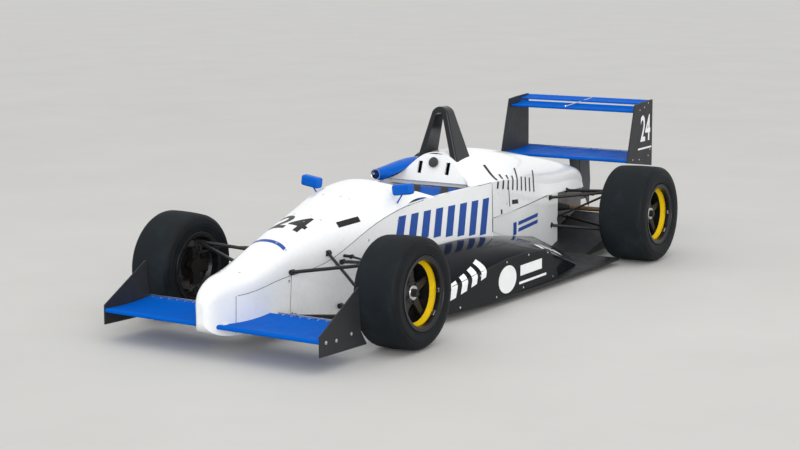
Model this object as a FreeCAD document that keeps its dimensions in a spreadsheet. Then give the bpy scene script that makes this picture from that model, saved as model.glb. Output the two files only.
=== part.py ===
"""Open wheel single-seat racing car, built from its separate pieces.

Frame: millimetres, +Z up, the nose points along -Y and the car's left side along +X.
The origin is on the ground, midway between the nose tip and the rear wing's tail.
"""
import FreeCAD, Part
import math
import os
from FreeCAD import Placement, Rotation, Vector

document = FreeCAD.newDocument("open_wheel_racing_car")
sheet = document.addObject("Spreadsheet::Sheet", "sizes")

# Driving dimensions: alias and value, in millimetres or degrees.
DRIVING_SIZES = (
    # whole car
    ("wheelbase", 2675), ("front_overhang", 697), ("rear_overhang", 758),
    ("front_track", 1381), ("rear_track", 1434),
    ("front_camber", 2.0), ("rear_camber", 1.3),
    ("panel_gap", 0.5), ("fit_gap", 0.3),
    # body shell
    ("tub_half_width", 322), ("tub_floor_height", 45), ("tub_wall", 24), ("skin", 5),
    ("crown_height", 690), ("cover_crown", 757), ("bulkhead_station", 1544),
    ("nose_joint_station", 155), ("panel_front_station", 535),
    ("cockpit_front", 700), ("cockpit_rear", 1420), ("cockpit_half_width", 232),
    # floor and side pods
    ("floor_low", 30), ("floor_thickness", 15), ("floor_front", 600), ("floor_rear", 2440),
    ("floor_half_width", 700), ("diffuser_rise", 150), ("diffuser_length", 700), ("diffuser_half_width", 470),
    ("pod_half_width", 652), ("pod_front", 500), ("pod_wall", 6),
    # front wing
    ("front_wing_half_span", 645), ("front_wing_chord", 335), ("front_wing_height", 152),
    ("front_plate_thickness", 6), ("gurney_height", 9),
    # rear wing
    ("rear_wing_half_span", 454), ("rear_plate_thickness", 8), ("rear_wing_top", 916),
    # wheels
    ("front_tyre_radius", 276), ("rear_tyre_radius", 290),
    ("front_tyre_width", 246), ("rear_tyre_width", 296),
    ("front_rim_width", 243), ("rear_rim_width", 282),
    ("rim_lip_radius", 184.5), ("bead_radius", 165), ("rim_skin", 6), ("spoke_count", 5),
    ("disc_radius", 130), ("disc_thickness", 14), ("spindle_radius", 20),
    # suspension and steering
    ("arm_radius", 9), ("pushrod_radius", 8), ("joint_radius", 13), ("kingpin_offset", 97),
    ("kingpin_reach", 130), ("steer_arm", 92), ("track_rod_radius", 6),
    ("steering_wheel_radius", 130), ("grip_radius", 13),
    # roll hoop
    ("hoop_top", 1012), ("hoop_foot_half_width", 136), ("hoop_leg_thickness", 38), ("hoop_top_half_width", 52),
    # engine and headrest
    ("engine_width", 300), ("engine_length", 559.7), ("engine_low", 80), ("engine_height", 400),
    ("pad_radius", 30), ("pad_thickness", 22), ("pad_height", 695),
)

for row, (alias, value) in enumerate(DRIVING_SIZES, start=1):
    cell = "A%d" % row
    sheet.set(cell, str(value))
    sheet.setAlias(cell, alias)
document.recompute()


def size(alias):
    """The number in the sheet's cell of that name."""
    return float(sheet.get(alias))


# Places worked out from the driving dimensions.
FRONT_AXLE = (size("front_overhang") - size("wheelbase") - size("rear_overhang")) / 2
REAR_AXLE = FRONT_AXLE + size("wheelbase")
NOSE_TIP = FRONT_AXLE - size("front_overhang")
TAIL = REAR_AXLE + size("rear_overhang")
BULKHEAD = FRONT_AXLE + size("bulkhead_station")
BAY = REAR_AXLE - BULKHEAD
FLOOR_TOP = size("floor_low") + size("floor_thickness")


def behind_axle(distance):
    """Y of a point that far behind the front axle."""
    return FRONT_AXLE + distance


def in_bay(share):
    """Y of a point at that share of the way from the engine bulkhead to the rear axle."""
    return BULKHEAD + share * BAY


# ---------------------------------------------------------------- shape helpers
def polygon(points):
    """Closed wire through the points."""
    return Part.makePolygon(list(points) + [points[0]])


def prism(points, direction):
    """Solid that sweeps a flat polygon along a vector."""
    return Part.Face(polygon(points)).extrude(direction)


def box(x_low, x_high, y_low, y_high, z_low, z_high):
    """Box between two corners."""
    return Part.makeBox(x_high - x_low, y_high - y_low, z_high - z_low, Vector(x_low, y_low, z_low))


def side_prism(x_low, x_high, outline):
    """Solid with a side-view outline of (y, z) points between two x planes."""
    return prism([Vector(x_low, y, z) for y, z in outline], Vector(x_high - x_low, 0, 0))


def plan_prism(z_low, z_high, outline):
    """Solid with a plan-view outline of (x, y) points between two heights."""
    return prism([Vector(x, y, z_low) for x, y in outline], Vector(0, 0, z_high - z_low))


def rod(start, end, radius):
    """Round bar between two points."""
    axis = end - start
    return Part.makeCylinder(radius, axis.Length, start, axis)


def mirrored(shape):
    """The same shape on the other side of the car."""
    return shape.mirror(Vector(0, 0, 0), Vector(1, 0, 0))


def merged(shapes):
    """One shape out of pieces that touch or overlap."""
    return shapes[0].fuse(shapes[1:]).removeSplitter()


def apart(shapes):
    """Several solids that stay separate in one piece."""
    return Part.makeCompound(shapes)


def loft(wires, ruled=False):
    """Solid through closed wires."""
    return Part.makeLoft(wires, True, ruled)


def node(name, shape):
    """Add a sub-part that is not a feature history."""
    feature = document.addObject("Part::Feature", name)
    feature.Label = name
    feature.Shape = shape
    return feature


# ---------------------------------------------------------------- body shell
# Shell sections, one row each. Columns: y, half width at the bottom, height of the bottom,
# half width at the shoulder, height of the shoulder, height of the crown, fullness of the arch.
W = size("tub_half_width")
CROWN = size("crown_height")
FRONT_SECTIONS = (
    (NOSE_TIP, 0.05 * W, 172, 0.055 * W, 236, 0.39 * CROWN, 1.0),
    (NOSE_TIP + 18, 0.12 * W, 140, 0.125 * W, 258, 0.45 * CROWN, 1.0),
    (NOSE_TIP + 80, 0.19 * W, 108, 0.20 * W, 280, 0.525 * CROWN, 1.02),
    (NOSE_TIP + 230, 0.31 * W, 96, 0.33 * W, 290, 0.567 * CROWN, 1.09),
    (behind_axle(-225), 0.37 * W, 85, 0.41 * W, 322, 0.677 * CROWN, 1.09),
    (behind_axle(114), 0.47 * W, 62, 0.56 * W, 362, 0.83 * CROWN, 1.15),
    (behind_axle(330), 0.60 * W, 50, 0.74 * W, 470, 0.906 * CROWN, 0.86),
    (behind_axle(560), 0.75 * W, 45, 0.83 * W, 545, 0.985 * CROWN, 0.78),
    (behind_axle(955), 0.92 * W, 45, 0.885 * W, 582, 0.95 * CROWN, 0.78),
    (behind_axle(1250), 0.985 * W, 45, 0.94 * W, 588, 0.93 * CROWN, 0.78),
    (BULKHEAD, W, size("tub_floor_height"), 0.975 * W, 590, 0.93 * CROWN, 0.78),
)
TUB_SECTIONS = FRONT_SECTIONS[4:]
# Engine cover sections with the same columns and one more: how far the arch's foot is drawn in.
# The bottom is the cover's lower edge.
C = size("cover_crown")
COVER_EDGE = 385.0
COVER_SECTIONS = (
    (BULKHEAD - 290, 0.96 * W, COVER_EDGE, 0.92 * W, 590, 0.96 * C, 0.70, 0.85),
    (BULKHEAD, 1.00 * W, COVER_EDGE, 0.975 * W, 590, C, 0.74, 0.70),
    (in_bay(0.37), 0.86 * W, COVER_EDGE, 0.80 * W, 550, 0.952 * C, 0.92, 0.15),
    (in_bay(0.64), 0.70 * W, COVER_EDGE, 0.63 * W, 490, 0.880 * C, 0.94, 0.0),
    (in_bay(1.11), 0.44 * W, 365, 0.39 * W, 425, 0.740 * C, 0.94, 0.0),
    (in_bay(1.475), 0.23 * W, 335, 0.20 * W, 370, 0.600 * C, 0.94, 0.0),
)


def arch(half, foot, crown, y, fullness, waist=0.0):
    """Two cubic curves over the body, from its left shoulder to the right one, level at the crown."""
    height = crown - foot
    knee_x = half * (1 / 3 + 2 / 3 * fullness - 0.32 * waist)
    knee_z = foot + height * 2 / 3 * (1 - waist)
    brow = half * fullness * 2 / 3
    sides = []
    for side in (1, -1):
        curve = Part.BezierCurve()
        curve.setPoles([
            Vector(side * half, y, foot), Vector(side * knee_x, y, knee_z), Vector(side * brow, y, crown),
            Vector(0, y, crown),
        ])
        sides.append(curve.toShape())
    return sides


def lower_wire(y, low_half, low, shoulder_half, shoulder, inset=0.0, base=0.0):
    """Tub section: four lines, drawn inwards by the wall and raised by the base."""
    points = [
        Vector(-low_half + inset, y, low + base),
        Vector(low_half - inset, y, low + base),
        Vector(shoulder_half - inset, y, shoulder),
        Vector(-shoulder_half + inset, y, shoulder),
    ]
    return polygon(points)


def upper_wire(y, shoulder_half, shoulder, crown, fullness, inset=0.0, drop=0.0):
    """Top section: a flat base, short upright sides where it drops, and an arch over the shoulders."""
    half = shoulder_half - inset
    left = Vector(half, y, shoulder)
    right = Vector(-half, y, shoulder)
    edges = arch(half, shoulder, crown - inset, y, fullness)
    if drop == 0:
        return Part.Wire([Part.makeLine(right, left)] + edges)
    down = Vector(0, 0, -drop)
    base = [
        Part.makeLine(right, right + down), Part.makeLine(right + down, left + down), Part.makeLine(left + down, left),
    ]
    return Part.Wire(base + edges)


def full_wire(y, low_half, low, shoulder_half, shoulder, crown, fullness, waist=0.0, inset=0.0, base=0.0):
    """Whole section: bottom, two sides and the arch over the shoulders."""
    half = shoulder_half - inset
    low_right = Vector(-low_half + inset, y, low + base)
    low_left = Vector(low_half - inset, y, low + base)
    left = Vector(half, y, shoulder)
    right = Vector(-half, y, shoulder)
    edges = [
        Part.makeLine(right, low_right), Part.makeLine(low_right, low_left), Part.makeLine(low_left, left),
    ]
    return Part.Wire(edges + arch(half, shoulder, crown - inset, y, fullness, waist))


def slab(y_low, y_high):
    """Everything between two cross planes, to keep or cut a length of the car."""
    return box(-2 * W, 2 * W, y_low, y_high, -10, 2 * CROWN)


def side_x(solid, y, z):
    """Half width of a body piece at a place on its flank."""
    ray = Part.makeLine(Vector(0, y, z), Vector(3 * W, y, z)).common(solid)
    if not ray.Vertexes:
        raise RuntimeError("nothing beside y %.0f z %.0f" % (y, z))
    return ray.BoundBox.XMax


def build_nose_cone():
    """Nose tip and the one-piece top from the nose to the cockpit."""
    panel_front = behind_axle(-size("panel_front_station"))
    tip = loft([full_wire(*row) for row in FRONT_SECTIONS]).common(slab(NOSE_TIP - 1, panel_front))
    tops = [(y, half, z, crown, full) for y, _, _, half, z, crown, full in FRONT_SECTIONS]
    top = loft([upper_wire(*row) for row in tops]).common(slab(panel_front, behind_axle(955)))
    hollow = loft([upper_wire(*row, inset=size("skin"), drop=60.0) for row in tops[4:]])
    hollow = hollow.common(slab(behind_axle(150), BULKHEAD))
    shape = tip.fuse(top).cut(hollow)
    return shape.cut(cockpit_rim_wedge()).cut(cockpit_opening()).removeSplitter()


def cockpit_rim_wedge():
    """Space above the sloping cockpit rim."""
    front = behind_axle(size("cockpit_front"))
    rim_low = behind_axle(955)
    outline = [
        (front, 0.985 * CROWN), (front, 2 * CROWN), (BULKHEAD, 2 * CROWN), (BULKHEAD, 586), (rim_low, 586),
    ]
    return side_prism(-W - 1, W + 1, outline)


def cockpit_opening():
    """Opening seen from above: a bucket with a rounded front."""
    front = behind_axle(size("cockpit_front"))
    rear = behind_axle(size("cockpit_rear"))
    half = size("cockpit_half_width")
    nose = 0.55 * half
    flat = Part.Wire([
        Part.Arc(Vector(-half, front + nose, 0), Vector(0, front, 0), Vector(half, front + nose, 0)).toShape(),
        Part.makeLine(Vector(half, front + nose, 0), Vector(half, rear, 0)),
        Part.makeLine(Vector(half, rear, 0), Vector(-half, rear, 0)),
        Part.makeLine(Vector(-half, rear, 0), Vector(-half, front + nose, 0)),
    ])
    hole = Part.Face(flat).extrude(Vector(0, 0, 1000))
    hole.translate(Vector(0, 0, 400))
    return hole


def lower_body(sections, inset=0.0, base=0.0):
    """Lower half of the shell through those sections, up to the top's joint."""
    gap = size("panel_gap")
    return loft([lower_wire(y, a, z, b, s - gap, inset, base) for y, a, z, b, s, _, _ in sections])


def tub_hollow():
    """Space inside the tub from the pedals to the engine bulkhead."""
    wall = size("tub_wall")
    rows = [(y, a, z, b, s) for y, a, z, b, s, _, _ in TUB_SECTIONS]
    inner = loft([lower_wire(*row, inset=wall, base=wall) for row in rows])
    return inner.common(slab(behind_axle(150), BULKHEAD - wall))


def build_nose_box(nose_cone):
    """Flat-sided lower nose between the tip and the tub."""
    low = behind_axle(-size("panel_front_station")) + size("panel_gap")
    high = behind_axle(-size("nose_joint_station"))
    return lower_body(FRONT_SECTIONS).common(slab(low, high)).cut(nose_cone)


def build_monocoque(nose_cone):
    """Load-carrying tub: hollow from the pedals to the engine bulkhead."""
    wall = size("tub_wall")
    front = behind_axle(-size("nose_joint_station")) + size("panel_gap")
    middle = TUB_SECTIONS[3][0]
    fore = lower_body(FRONT_SECTIONS).common(slab(front, middle))
    aft = lower_body(TUB_SECTIONS).common(slab(middle, BULKHEAD))
    outer = merged([fore, aft]).cut(nose_cone)
    under_floor = box(-2 * W, 2 * W, behind_axle(size("floor_front")) - 1, BULKHEAD + 1, -10, FLOOR_TOP)
    deck = box(-W, W, behind_axle(size("cockpit_rear")), BULKHEAD - 1, 589 - wall, 589)
    hollow = tub_hollow().cut(deck)
    rack_hole = rod(Vector(-RACK_END.x, RACK_END.y, RACK_END.z), RACK_END, RACK_RADIUS + size("fit_gap"))
    return outer.cut(under_floor).cut(hollow).cut(rack_hole).cut(cockpit_opening()).removeSplitter()


def cover_solid(inset=0.0, base=0.0):
    """Engine cover's form as a full solid."""
    return loft([full_wire(*row, inset=inset, base=base) for row in COVER_SECTIONS])


def build_engine_cover(hoop):
    """Tapered cover behind the cockpit, open underneath and at the front."""
    shape = cover_solid()
    end = COVER_SECTIONS[-1][0] - size("skin")
    hollow = cover_solid(size("skin"), -20.0).cut(slab(end, end + BAY))
    under = box(-2 * W, 2 * W, BULKHEAD - 300, BULKHEAD, 300, 590)
    slope = side_prism(-2 * W, 2 * W, [
        (BULKHEAD - 300, 500), (BULKHEAD - 215, 500), (BULKHEAD - 215, 591), (BULKHEAD - 160, 606),
        (BULKHEAD - 126, 640), (BULKHEAD - 104, 700), (BULKHEAD - 86, 800), (BULKHEAD - 300, 800),
    ])
    shape = shape.cut(hollow).cut(under).cut(slope).cut(hoop)
    for foot in REAR_FEET[:2]:
        notch = centred_rod(foot, Vector(0, 1, 0), 18, 18).fuse(rod(foot, foot - Vector(60, 0, 0), 10))
        shape = shape.cut(notch).cut(mirrored(notch))
    return shape.removeSplitter()


def panel_outline(offset=0.0):
    """Plan of the left engine side panel's outer face, front to rear."""
    return [(W + offset, BULKHEAD + size("panel_gap")), (0.87 * W + offset, in_bay(0.36)),
            (0.71 * W + offset, in_bay(0.66)), (0.60 * W + offset, in_bay(0.94))]


def build_side_panels(floor_shape):
    """Flat panels beside the engine, under the cover's lower edge."""
    outline = panel_outline() + list(reversed(panel_outline(-size("skin"))))
    panel = plan_prism(FLOOR_TOP, COVER_EDGE - size("panel_gap"), outline).cut(floor_shape)
    for foot in REAR_FEET + (PULL_FOOT,):
        panel = panel.cut(rod(Vector(0, foot.y, foot.z), Vector(W, foot.y, foot.z), 22))
    panel = max(panel.Solids, key=lambda solid: solid.Volume)
    return apart([panel, mirrored(panel)])


HEADREST_LOW = (BULKHEAD - 150, 590.0)
HEADREST_TOP = (BULKHEAD - 96, 742.0)


def build_headrest_panel():
    """White shoulder bulkhead with two belt slots."""
    y_low, z_low = HEADREST_LOW
    y_top, z_top = HEADREST_TOP
    panel = side_prism(-W, W, [(y_low, z_low), (y_top, z_top), (y_top + 12, z_top), (y_low + 12, z_low)])
    panel = panel.common(cover_solid(size("skin") + 0.2))
    for side in (-1, 1):
        panel = panel.cut(box(side * 92 - 14, side * 92 + 14, y_low - 10, y_top + 30, 632, 700))
    return panel


def add_headrest_pad():
    """Small round pad on the shoulder bulkhead, as a cylinder driven by the sheet."""
    y_low, z_low = HEADREST_LOW
    y_top, z_top = HEADREST_TOP
    slope = math.atan2(y_top - y_low, z_top - z_low)
    axis = Vector(0, -math.cos(slope), math.sin(slope))
    height = size("pad_height")
    face = Vector(0, y_low + (height - z_low) * math.tan(slope), height)
    pad = document.addObject("Part::Cylinder", "headrest_pad")
    pad.Label = "headrest_pad"
    pad.Placement = Placement(face + axis * size("fit_gap"), Rotation(Vector(0, 0, 1), axis))
    pad.setExpression("Radius", sheet.Name + ".pad_radius")
    pad.setExpression("Height", sheet.Name + ".pad_thickness")


HOOP_BASE = 700.0
HOOP_FRONT = behind_axle(1452)
HOOP_REAR = behind_axle(1620)


def hoop_outline(half_foot, half_top, top):
    """Front view of the hoop: straight legs that lean in, joined by a round top."""
    bend = top - 0.62 * half_top
    left = Vector(half_foot, HOOP_FRONT, HOOP_BASE)
    right = Vector(-half_foot, HOOP_FRONT, HOOP_BASE)
    left_bend = Vector(half_top, HOOP_FRONT, bend)
    right_bend = Vector(-half_top, HOOP_FRONT, bend)
    return Part.Wire([
        Part.makeLine(right, left), Part.makeLine(left, left_bend),
        Part.Arc(left_bend, Vector(0, HOOP_FRONT, top), right_bend).toShape(), Part.makeLine(right_bend, right),
    ])


def build_roll_hoop(headrest, tub):
    """Faired roll hoop: two fins that lean together into a round top."""
    foot = size("hoop_foot_half_width")
    top = size("hoop_top")
    half_top = size("hoop_top_half_width")
    leg = size("hoop_leg_thickness")
    depth = Vector(0, HOOP_REAR - HOOP_FRONT, 0)
    outer = Part.Face(hoop_outline(foot, half_top, top)).extrude(depth)
    gap = Part.Face(hoop_outline(foot - leg, half_top - 0.8 * leg, top - 0.9 * leg)).extrude(depth)
    side = side_prism(-foot - 1, foot + 1, [
        (HOOP_FRONT, HOOP_BASE), (HOOP_FRONT + 36, top + 1), (HOOP_FRONT + 112, top + 1), (HOOP_REAR, HOOP_BASE),
    ])
    shell = outer.common(side)
    rims = [edge for edge in shell.Edges if edge.BoundBox.ZMin > HOOP_BASE - 1 and edge.BoundBox.YLength < 60
            and edge.BoundBox.ZLength + edge.BoundBox.XLength > 20]
    rims = [edge for edge in rims if edge.BoundBox.ZMax > HOOP_BASE + 1]
    hoop = shell.makeFillet(12, rims).cut(gap)
    post_x = foot - leg / 2
    posts = [box(sign * post_x - 14, sign * post_x + 14, HOOP_FRONT + 40, HOOP_FRONT + 80, 589.3, HOOP_BASE + 2)
             for sign in (-1, 1)]
    return merged([hoop] + posts).cut([headrest, tub])


def build_air_scoop(headrest):
    """Tapered air scoop on the right flank of the cover, open at its mouth."""
    mouth = Vector(-256, behind_axle(1205), 636)
    throat = Vector(-215, behind_axle(1640), 616)
    rings = []
    bores = []
    for share, radius, wall in ((0.0, 30, 3), (0.12, 38, 5), (0.5, 66, 6), (1.0, 80, 8)):
        centre = mouth + (throat - mouth) * share
        rings.append(Part.Wire([Part.makeCircle(radius, centre, Vector(0, 1, 0))]))
        bores.append(Part.Wire([Part.makeCircle(radius - wall, centre, Vector(0, 1, 0))]))
    scoop = loft(rings).cut(loft(bores[:3])).cut(cover_solid()).cut(headrest)
    return max(scoop.Solids, key=lambda solid: solid.Volume)


def build_mirrors(nose_cone):
    """Two mirror housings on thin stalks."""
    stalk_foot = Vector(236, behind_axle(640), 566)
    head = Vector(292, behind_axle(632), 640)
    shell = Part.makeBox(116, 52, 58, Vector(-58, -26, -29))
    shell = shell.makeFillet(14, shell.Edges)
    glass = Part.makeBox(100, 6, 44, Vector(-50, 21, -22))
    shell = shell.cut(glass)
    shell.Placement = Placement(head + Vector(0, 0, 25), Rotation(Vector(0, 1, 0), -8))
    mirror = merged([shell, rod(stalk_foot, head + Vector(0, 0, 6), 4)]).cut(nose_cone)
    mirror = max(mirror.Solids, key=lambda solid: solid.Volume)
    return apart([mirror, mirrored(mirror)])


def build_seat():
    """Bucket seat moulded to the tub, with a raked back."""
    rear = behind_axle(size("cockpit_rear"))
    floor = size("tub_floor_height") + size("tub_wall") + 0.5
    half = 190
    outline = [
        (rear - 640, floor), (rear - 640, floor + 60), (rear - 300, floor + 25), (rear - 180, floor + 60),
        (rear - 24, 560), (rear - 1, 560), (rear - 1, floor),
    ]
    shell = side_prism(-half, half, outline)
    bucket = side_prism(-half + 16, half - 16, [
        (rear - 700, floor + 90), (rear - 640, floor + 90), (rear - 300, floor + 60), (rear - 200, floor + 90),
        (rear - 60, 561), (rear - 700, 561),
    ])
    back = side_prism(-half - 1, half + 1, [
        (rear - 641, floor + 130), (rear - 330, floor + 190), (rear - 160, 470), (rear - 110, 561), (rear - 641, 561),
    ])
    return shell.cut(bucket).cut(back)


def build_harness(seat):
    """Two shoulder straps down the seat back."""
    rear = behind_axle(size("cockpit_rear"))
    straps = []
    for side in (-1, 1):
        strap = side_prism(side * 92 - 24, side * 92 + 24, [
            (rear - 26, 563), (rear - 30, 560), (rear - 150, 200), (rear - 154, 203), (rear - 34, 566), (rear - 26, 567),
        ])
        straps.append(strap.cut(seat))
    return apart(straps)


COLUMN_TILT = 18.0
COLUMN_RADIUS = 9.0
WHEEL_CENTRE = Vector(0, behind_axle(size("cockpit_front") + 118), 520)
COLUMN_AXIS = Vector(0, math.cos(math.radians(COLUMN_TILT)), math.sin(math.radians(COLUMN_TILT)))


def build_dash_panel():
    """Dash bulkhead across the tub with the column bush."""
    y = behind_axle(size("cockpit_front") - 60)
    panel = box(-W, W, y, y + 8, 380, 540).common(tub_hollow())
    bush = rod(WHEEL_CENTRE - COLUMN_AXIS * 300, WHEEL_CENTRE, COLUMN_RADIUS + size("fit_gap"))
    return panel.cut(bush)


def build_steering_wheel():
    """Rim, spokes, boss and the stub of the column."""
    radius = size("steering_wheel_radius")
    grip = size("grip_radius")
    rim = Part.makeTorus(radius, grip, WHEEL_CENTRE, COLUMN_AXIS)
    pieces = [rim]
    across = Vector(1, 0, 0)
    down = COLUMN_AXIS.cross(across)
    for arm in (across, across * -1, down):
        pieces.append(rod(WHEEL_CENTRE, WHEEL_CENTRE + arm * radius, 9))
    pieces.append(rod(WHEEL_CENTRE - COLUMN_AXIS * 30, WHEEL_CENTRE + COLUMN_AXIS * 12, 30))
    pieces.append(rod(WHEEL_CENTRE - COLUMN_AXIS * 200, WHEEL_CENTRE, COLUMN_RADIUS))
    return merged(pieces)


# ---------------------------------------------------------------- side pods and floor
# Pod sections. Columns: y, inner half width, outer half width, height at the inner edge,
# height at the outer edge.
P = size("pod_half_width")
POD_SECTIONS = (
    (behind_axle(size("pod_front")), 0.90 * W, 0.90 * P, 300, 196),
    (behind_axle(820), 0.965 * W, 0.985 * P, 318, 232),
    (behind_axle(1113), 1.01 * W, P, 322, 266),
    (behind_axle(1400), 1.01 * W, P, 300, 256),
    (behind_axle(1640), 1.01 * W, P, 268, 212),
)
POD_SHOULDER = 30.0


def pod_wire(y, inner, outer, inner_top, outer_top, inset=0.0):
    """Pod section: flat bottom, upright sides and a top that rolls over a round shoulder."""
    low = FLOOR_TOP + size("fit_gap") + inset
    a = Vector(inner + inset, y, low)
    b = Vector(outer - inset, y, low)
    c = Vector(outer - inset, y, max(outer_top - POD_SHOULDER, low + 1) - inset)
    d = Vector(inner + inset, y, inner_top - inset)
    roll = Part.BezierCurve()
    roll.setPoles([
        c, c + Vector(0, 0, 1.5 * POD_SHOULDER), Vector(0.45 * inner + 0.55 * outer, y, 0.4 * inner_top + 0.6 * outer_top + 34), d,
    ])
    return Part.Wire([Part.makeLine(a, b), Part.makeLine(b, c), roll.toShape(), Part.makeLine(d, a)])


def pod_duct(clear=0.0):
    """Air duct through a pod, open at the front."""
    wall = size("pod_wall") + clear
    duct = loft([pod_wire(*row, inset=wall) for row in POD_SECTIONS])
    duct.translate(Vector(0, -wall, 0))
    return duct.common(slab(behind_axle(size("pod_front")) - 10, behind_axle(1300)))


def build_sidepod():
    """Hollow pod with a front inlet and a sloping closed tail."""
    outer = loft([pod_wire(*row) for row in POD_SECTIONS])
    tail_rear = pod_wire(behind_axle(2075), 0.93 * W, 0.90 * P, 196, FLOOR_TOP + 4)
    tail = loft([pod_wire(*POD_SECTIONS[-1]), tail_rear], ruled=True)
    return merged([outer, tail]).cut(pod_duct()).cut(tub_clearance())


def tub_clearance():
    """Tub side, grown by the panel gap, for the pieces that sit against it."""
    gap = size("panel_gap")
    tub = loft([lower_wire(y, a + gap, z, b + gap, s) for y, a, z, b, s, _, _ in TUB_SECTIONS])
    left = [(W + gap, BULKHEAD - 1)] + panel_outline(gap)[1:]
    return tub.fuse(plan_prism(FLOOR_TOP, 500, left + [(-x, y) for x, y in reversed(left)]))


def build_radiators():
    """One cooler core across each pod duct."""
    y = behind_axle(1150)
    core = box(W, P, y, y + 40, FLOOR_TOP, CROWN).common(pod_duct(0.5)).cut(tub_clearance())
    return apart([core, mirrored(core)])


def build_floor():
    """Flat floor and the rising diffuser behind it."""
    low = size("floor_low")
    thick = size("floor_thickness")
    half = size("floor_half_width")
    front = behind_axle(size("floor_front"))
    rear = behind_axle(size("floor_rear"))
    outline = [
        (0.815 * half, front), (0.927 * half, front + 437), (0.967 * half, front + 1097), (half, rear),
        (size("diffuser_half_width"), rear),
    ]
    plate = plan_prism(low, low + thick, outline + [(-x, y) for x, y in reversed(outline)])
    span = size("diffuser_half_width")
    length = size("diffuser_length")
    rise = size("diffuser_rise")
    ramp = side_prism(-span, span, [
        (rear, low), (rear + length, low + rise), (rear + length, low + rise + 6), (rear, low + thick),
    ])
    fins = [plate, ramp]
    for x in (-span + 3, -span / 3, span / 3, span - 3):
        fins.append(side_prism(x - 3, x + 3, [
            (rear, low), (rear + length, low + 20), (rear + length, low + rise + 4), (rear, low + thick - 2),
        ]))
    return merged(fins)


# ---------------------------------------------------------------- wings
def wing_section(x, leading, trailing, depth, nose, lift):
    """Inverted wing profile in a side plane: round nose, hollow top, bowed underside."""
    y0, z0 = leading
    y1, z1 = trailing
    middle = 0.4 * y1 + 0.6 * y0
    low = Vector(x, middle, 0.6 * z0 + 0.4 * z1 - depth)
    top_mid = Vector(x, 0.5 * (y0 + y1), 0.5 * (z0 + z1) - lift)
    top_front = Vector(x, y0 + nose, z0 + nose)
    low_front = Vector(x, y0 + nose, z0 - nose)
    tip = Vector(x, y0, z0)
    rear_top = Vector(x, y1, z1)
    rear_low = Vector(x, y1, z1 - 3)
    return Part.Wire([
        Part.Arc(low_front, tip, top_front).toShape(),
        Part.Arc(top_front, top_mid, rear_top).toShape(),
        Part.makeLine(rear_top, rear_low),
        Part.Arc(rear_low, low, low_front).toShape(),
    ])


def wing(x_low, x_high, leading, trailing, depth, nose, lift):
    """Wing plane between two x planes."""
    section = wing_section(x_low, leading, trailing, depth, nose, lift)
    return Part.Face(section).extrude(Vector(x_high - x_low, 0, 0))


def build_front_wing(nose_cone, nose_box):
    """Left front wing plane with its trailing lip, cut to the nose."""
    z = size("front_wing_height")
    lead = (behind_axle(-645), z)
    trail = (behind_axle(-645) + size("front_wing_chord"), z + 14)
    span = size("front_wing_half_span")
    plane = wing(25, span, lead, trail, 34, 11, 3)
    lip = box(170, span, trail[0] - 1, trail[0] + 2, trail[1] - 3, trail[1] + size("gurney_height"))
    trimmed = merged([plane, lip]).cut(nose_cone).cut(nose_box)
    return max(trimmed.Solids, key=lambda solid: solid.Volume)


FRONT_PLATE = ((-646, 180), (-648, 82), (-261, 68), (-309, 138), (-331, 355))


def build_front_endplates():
    """Plates at the front wing's tips."""
    x = size("front_wing_half_span") + size("fit_gap")
    outline = [(behind_axle(y), z) for y, z in FRONT_PLATE]
    plate = side_prism(x, x + size("front_plate_thickness"), outline)
    return apart([plate, mirrored(plate)])


REAR_PLATE = ((-5, 916), (-35, 916), (-170, 909), (-278, 900), (-384, 535), (0, 480))


def build_rear_endplates():
    """Plates at the rear wing's tips."""
    x = size("rear_wing_half_span") + size("fit_gap")
    top = size("rear_wing_top")
    outline = [(TAIL + y, top - 916 + z) for y, z in REAR_PLATE]
    plate = side_prism(x, x + size("rear_plate_thickness"), outline)
    return apart([plate, mirrored(plate)])


def build_rear_wing_lower():
    """Lower rear plane."""
    span = size("rear_wing_half_span")
    return wing(-span, span, (TAIL - 380, 545), (TAIL - 8, 560), 30, 9, 4)


def build_rear_wing_upper():
    """Two upper slats."""
    span = size("rear_wing_half_span")
    top = size("rear_wing_top")
    main = wing(-span, span, (TAIL - 250, top - 62), (TAIL - 112, top - 40), 20, 8, 4)
    flap = wing(-span, span, (TAIL - 118, top - 24), (TAIL - 10, top - 4), 14, 6, 3)
    return apart([main, flap])


PYLON_PLATE = ((-213, 535), (-63, 535), (-43, 356), (-58, 180), (-173, 336))
JACK_TUBE = Vector(0, TAIL - 70, 270)


def build_wing_pylon(lower_plane):
    """Twin plates that carry the lower plane from the gearbox."""
    outline = [(TAIL + y, z) for y, z in PYLON_PLATE]
    plate = side_prism(32, 38, outline).cut(lower_plane)
    plate = plate.cut(rod(JACK_TUBE, JACK_TUBE + Vector(100, 0, 0), 15 + size("fit_gap")))
    plate = max(plate.Solids, key=lambda solid: solid.Volume)
    return apart([plate, mirrored(plate)])


# ---------------------------------------------------------------- engine and gearbox
def add_engine_block():
    """Engine as one plain block behind the bulkhead, driven by the sheet."""
    cells = {"name": sheet.Name}
    block = document.addObject("Part::Box", "engine_block")
    block.Label = "engine_block"
    block.setExpression("Length", "%(name)s.engine_width" % cells)
    block.setExpression("Width", "%(name)s.engine_length" % cells)
    block.setExpression("Height", "%(name)s.engine_height" % cells)
    block.setExpression(".Placement.Base.x", "-%(name)s.engine_width / 2" % cells)
    block.setExpression(".Placement.Base.y", (
        "(%(name)s.front_overhang - %(name)s.wheelbase - %(name)s.rear_overhang) / 2"
        " + %(name)s.bulkhead_station + %(name)s.fit_gap") % cells)
    block.setExpression(".Placement.Base.z", "%(name)s.engine_low" % cells)


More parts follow.
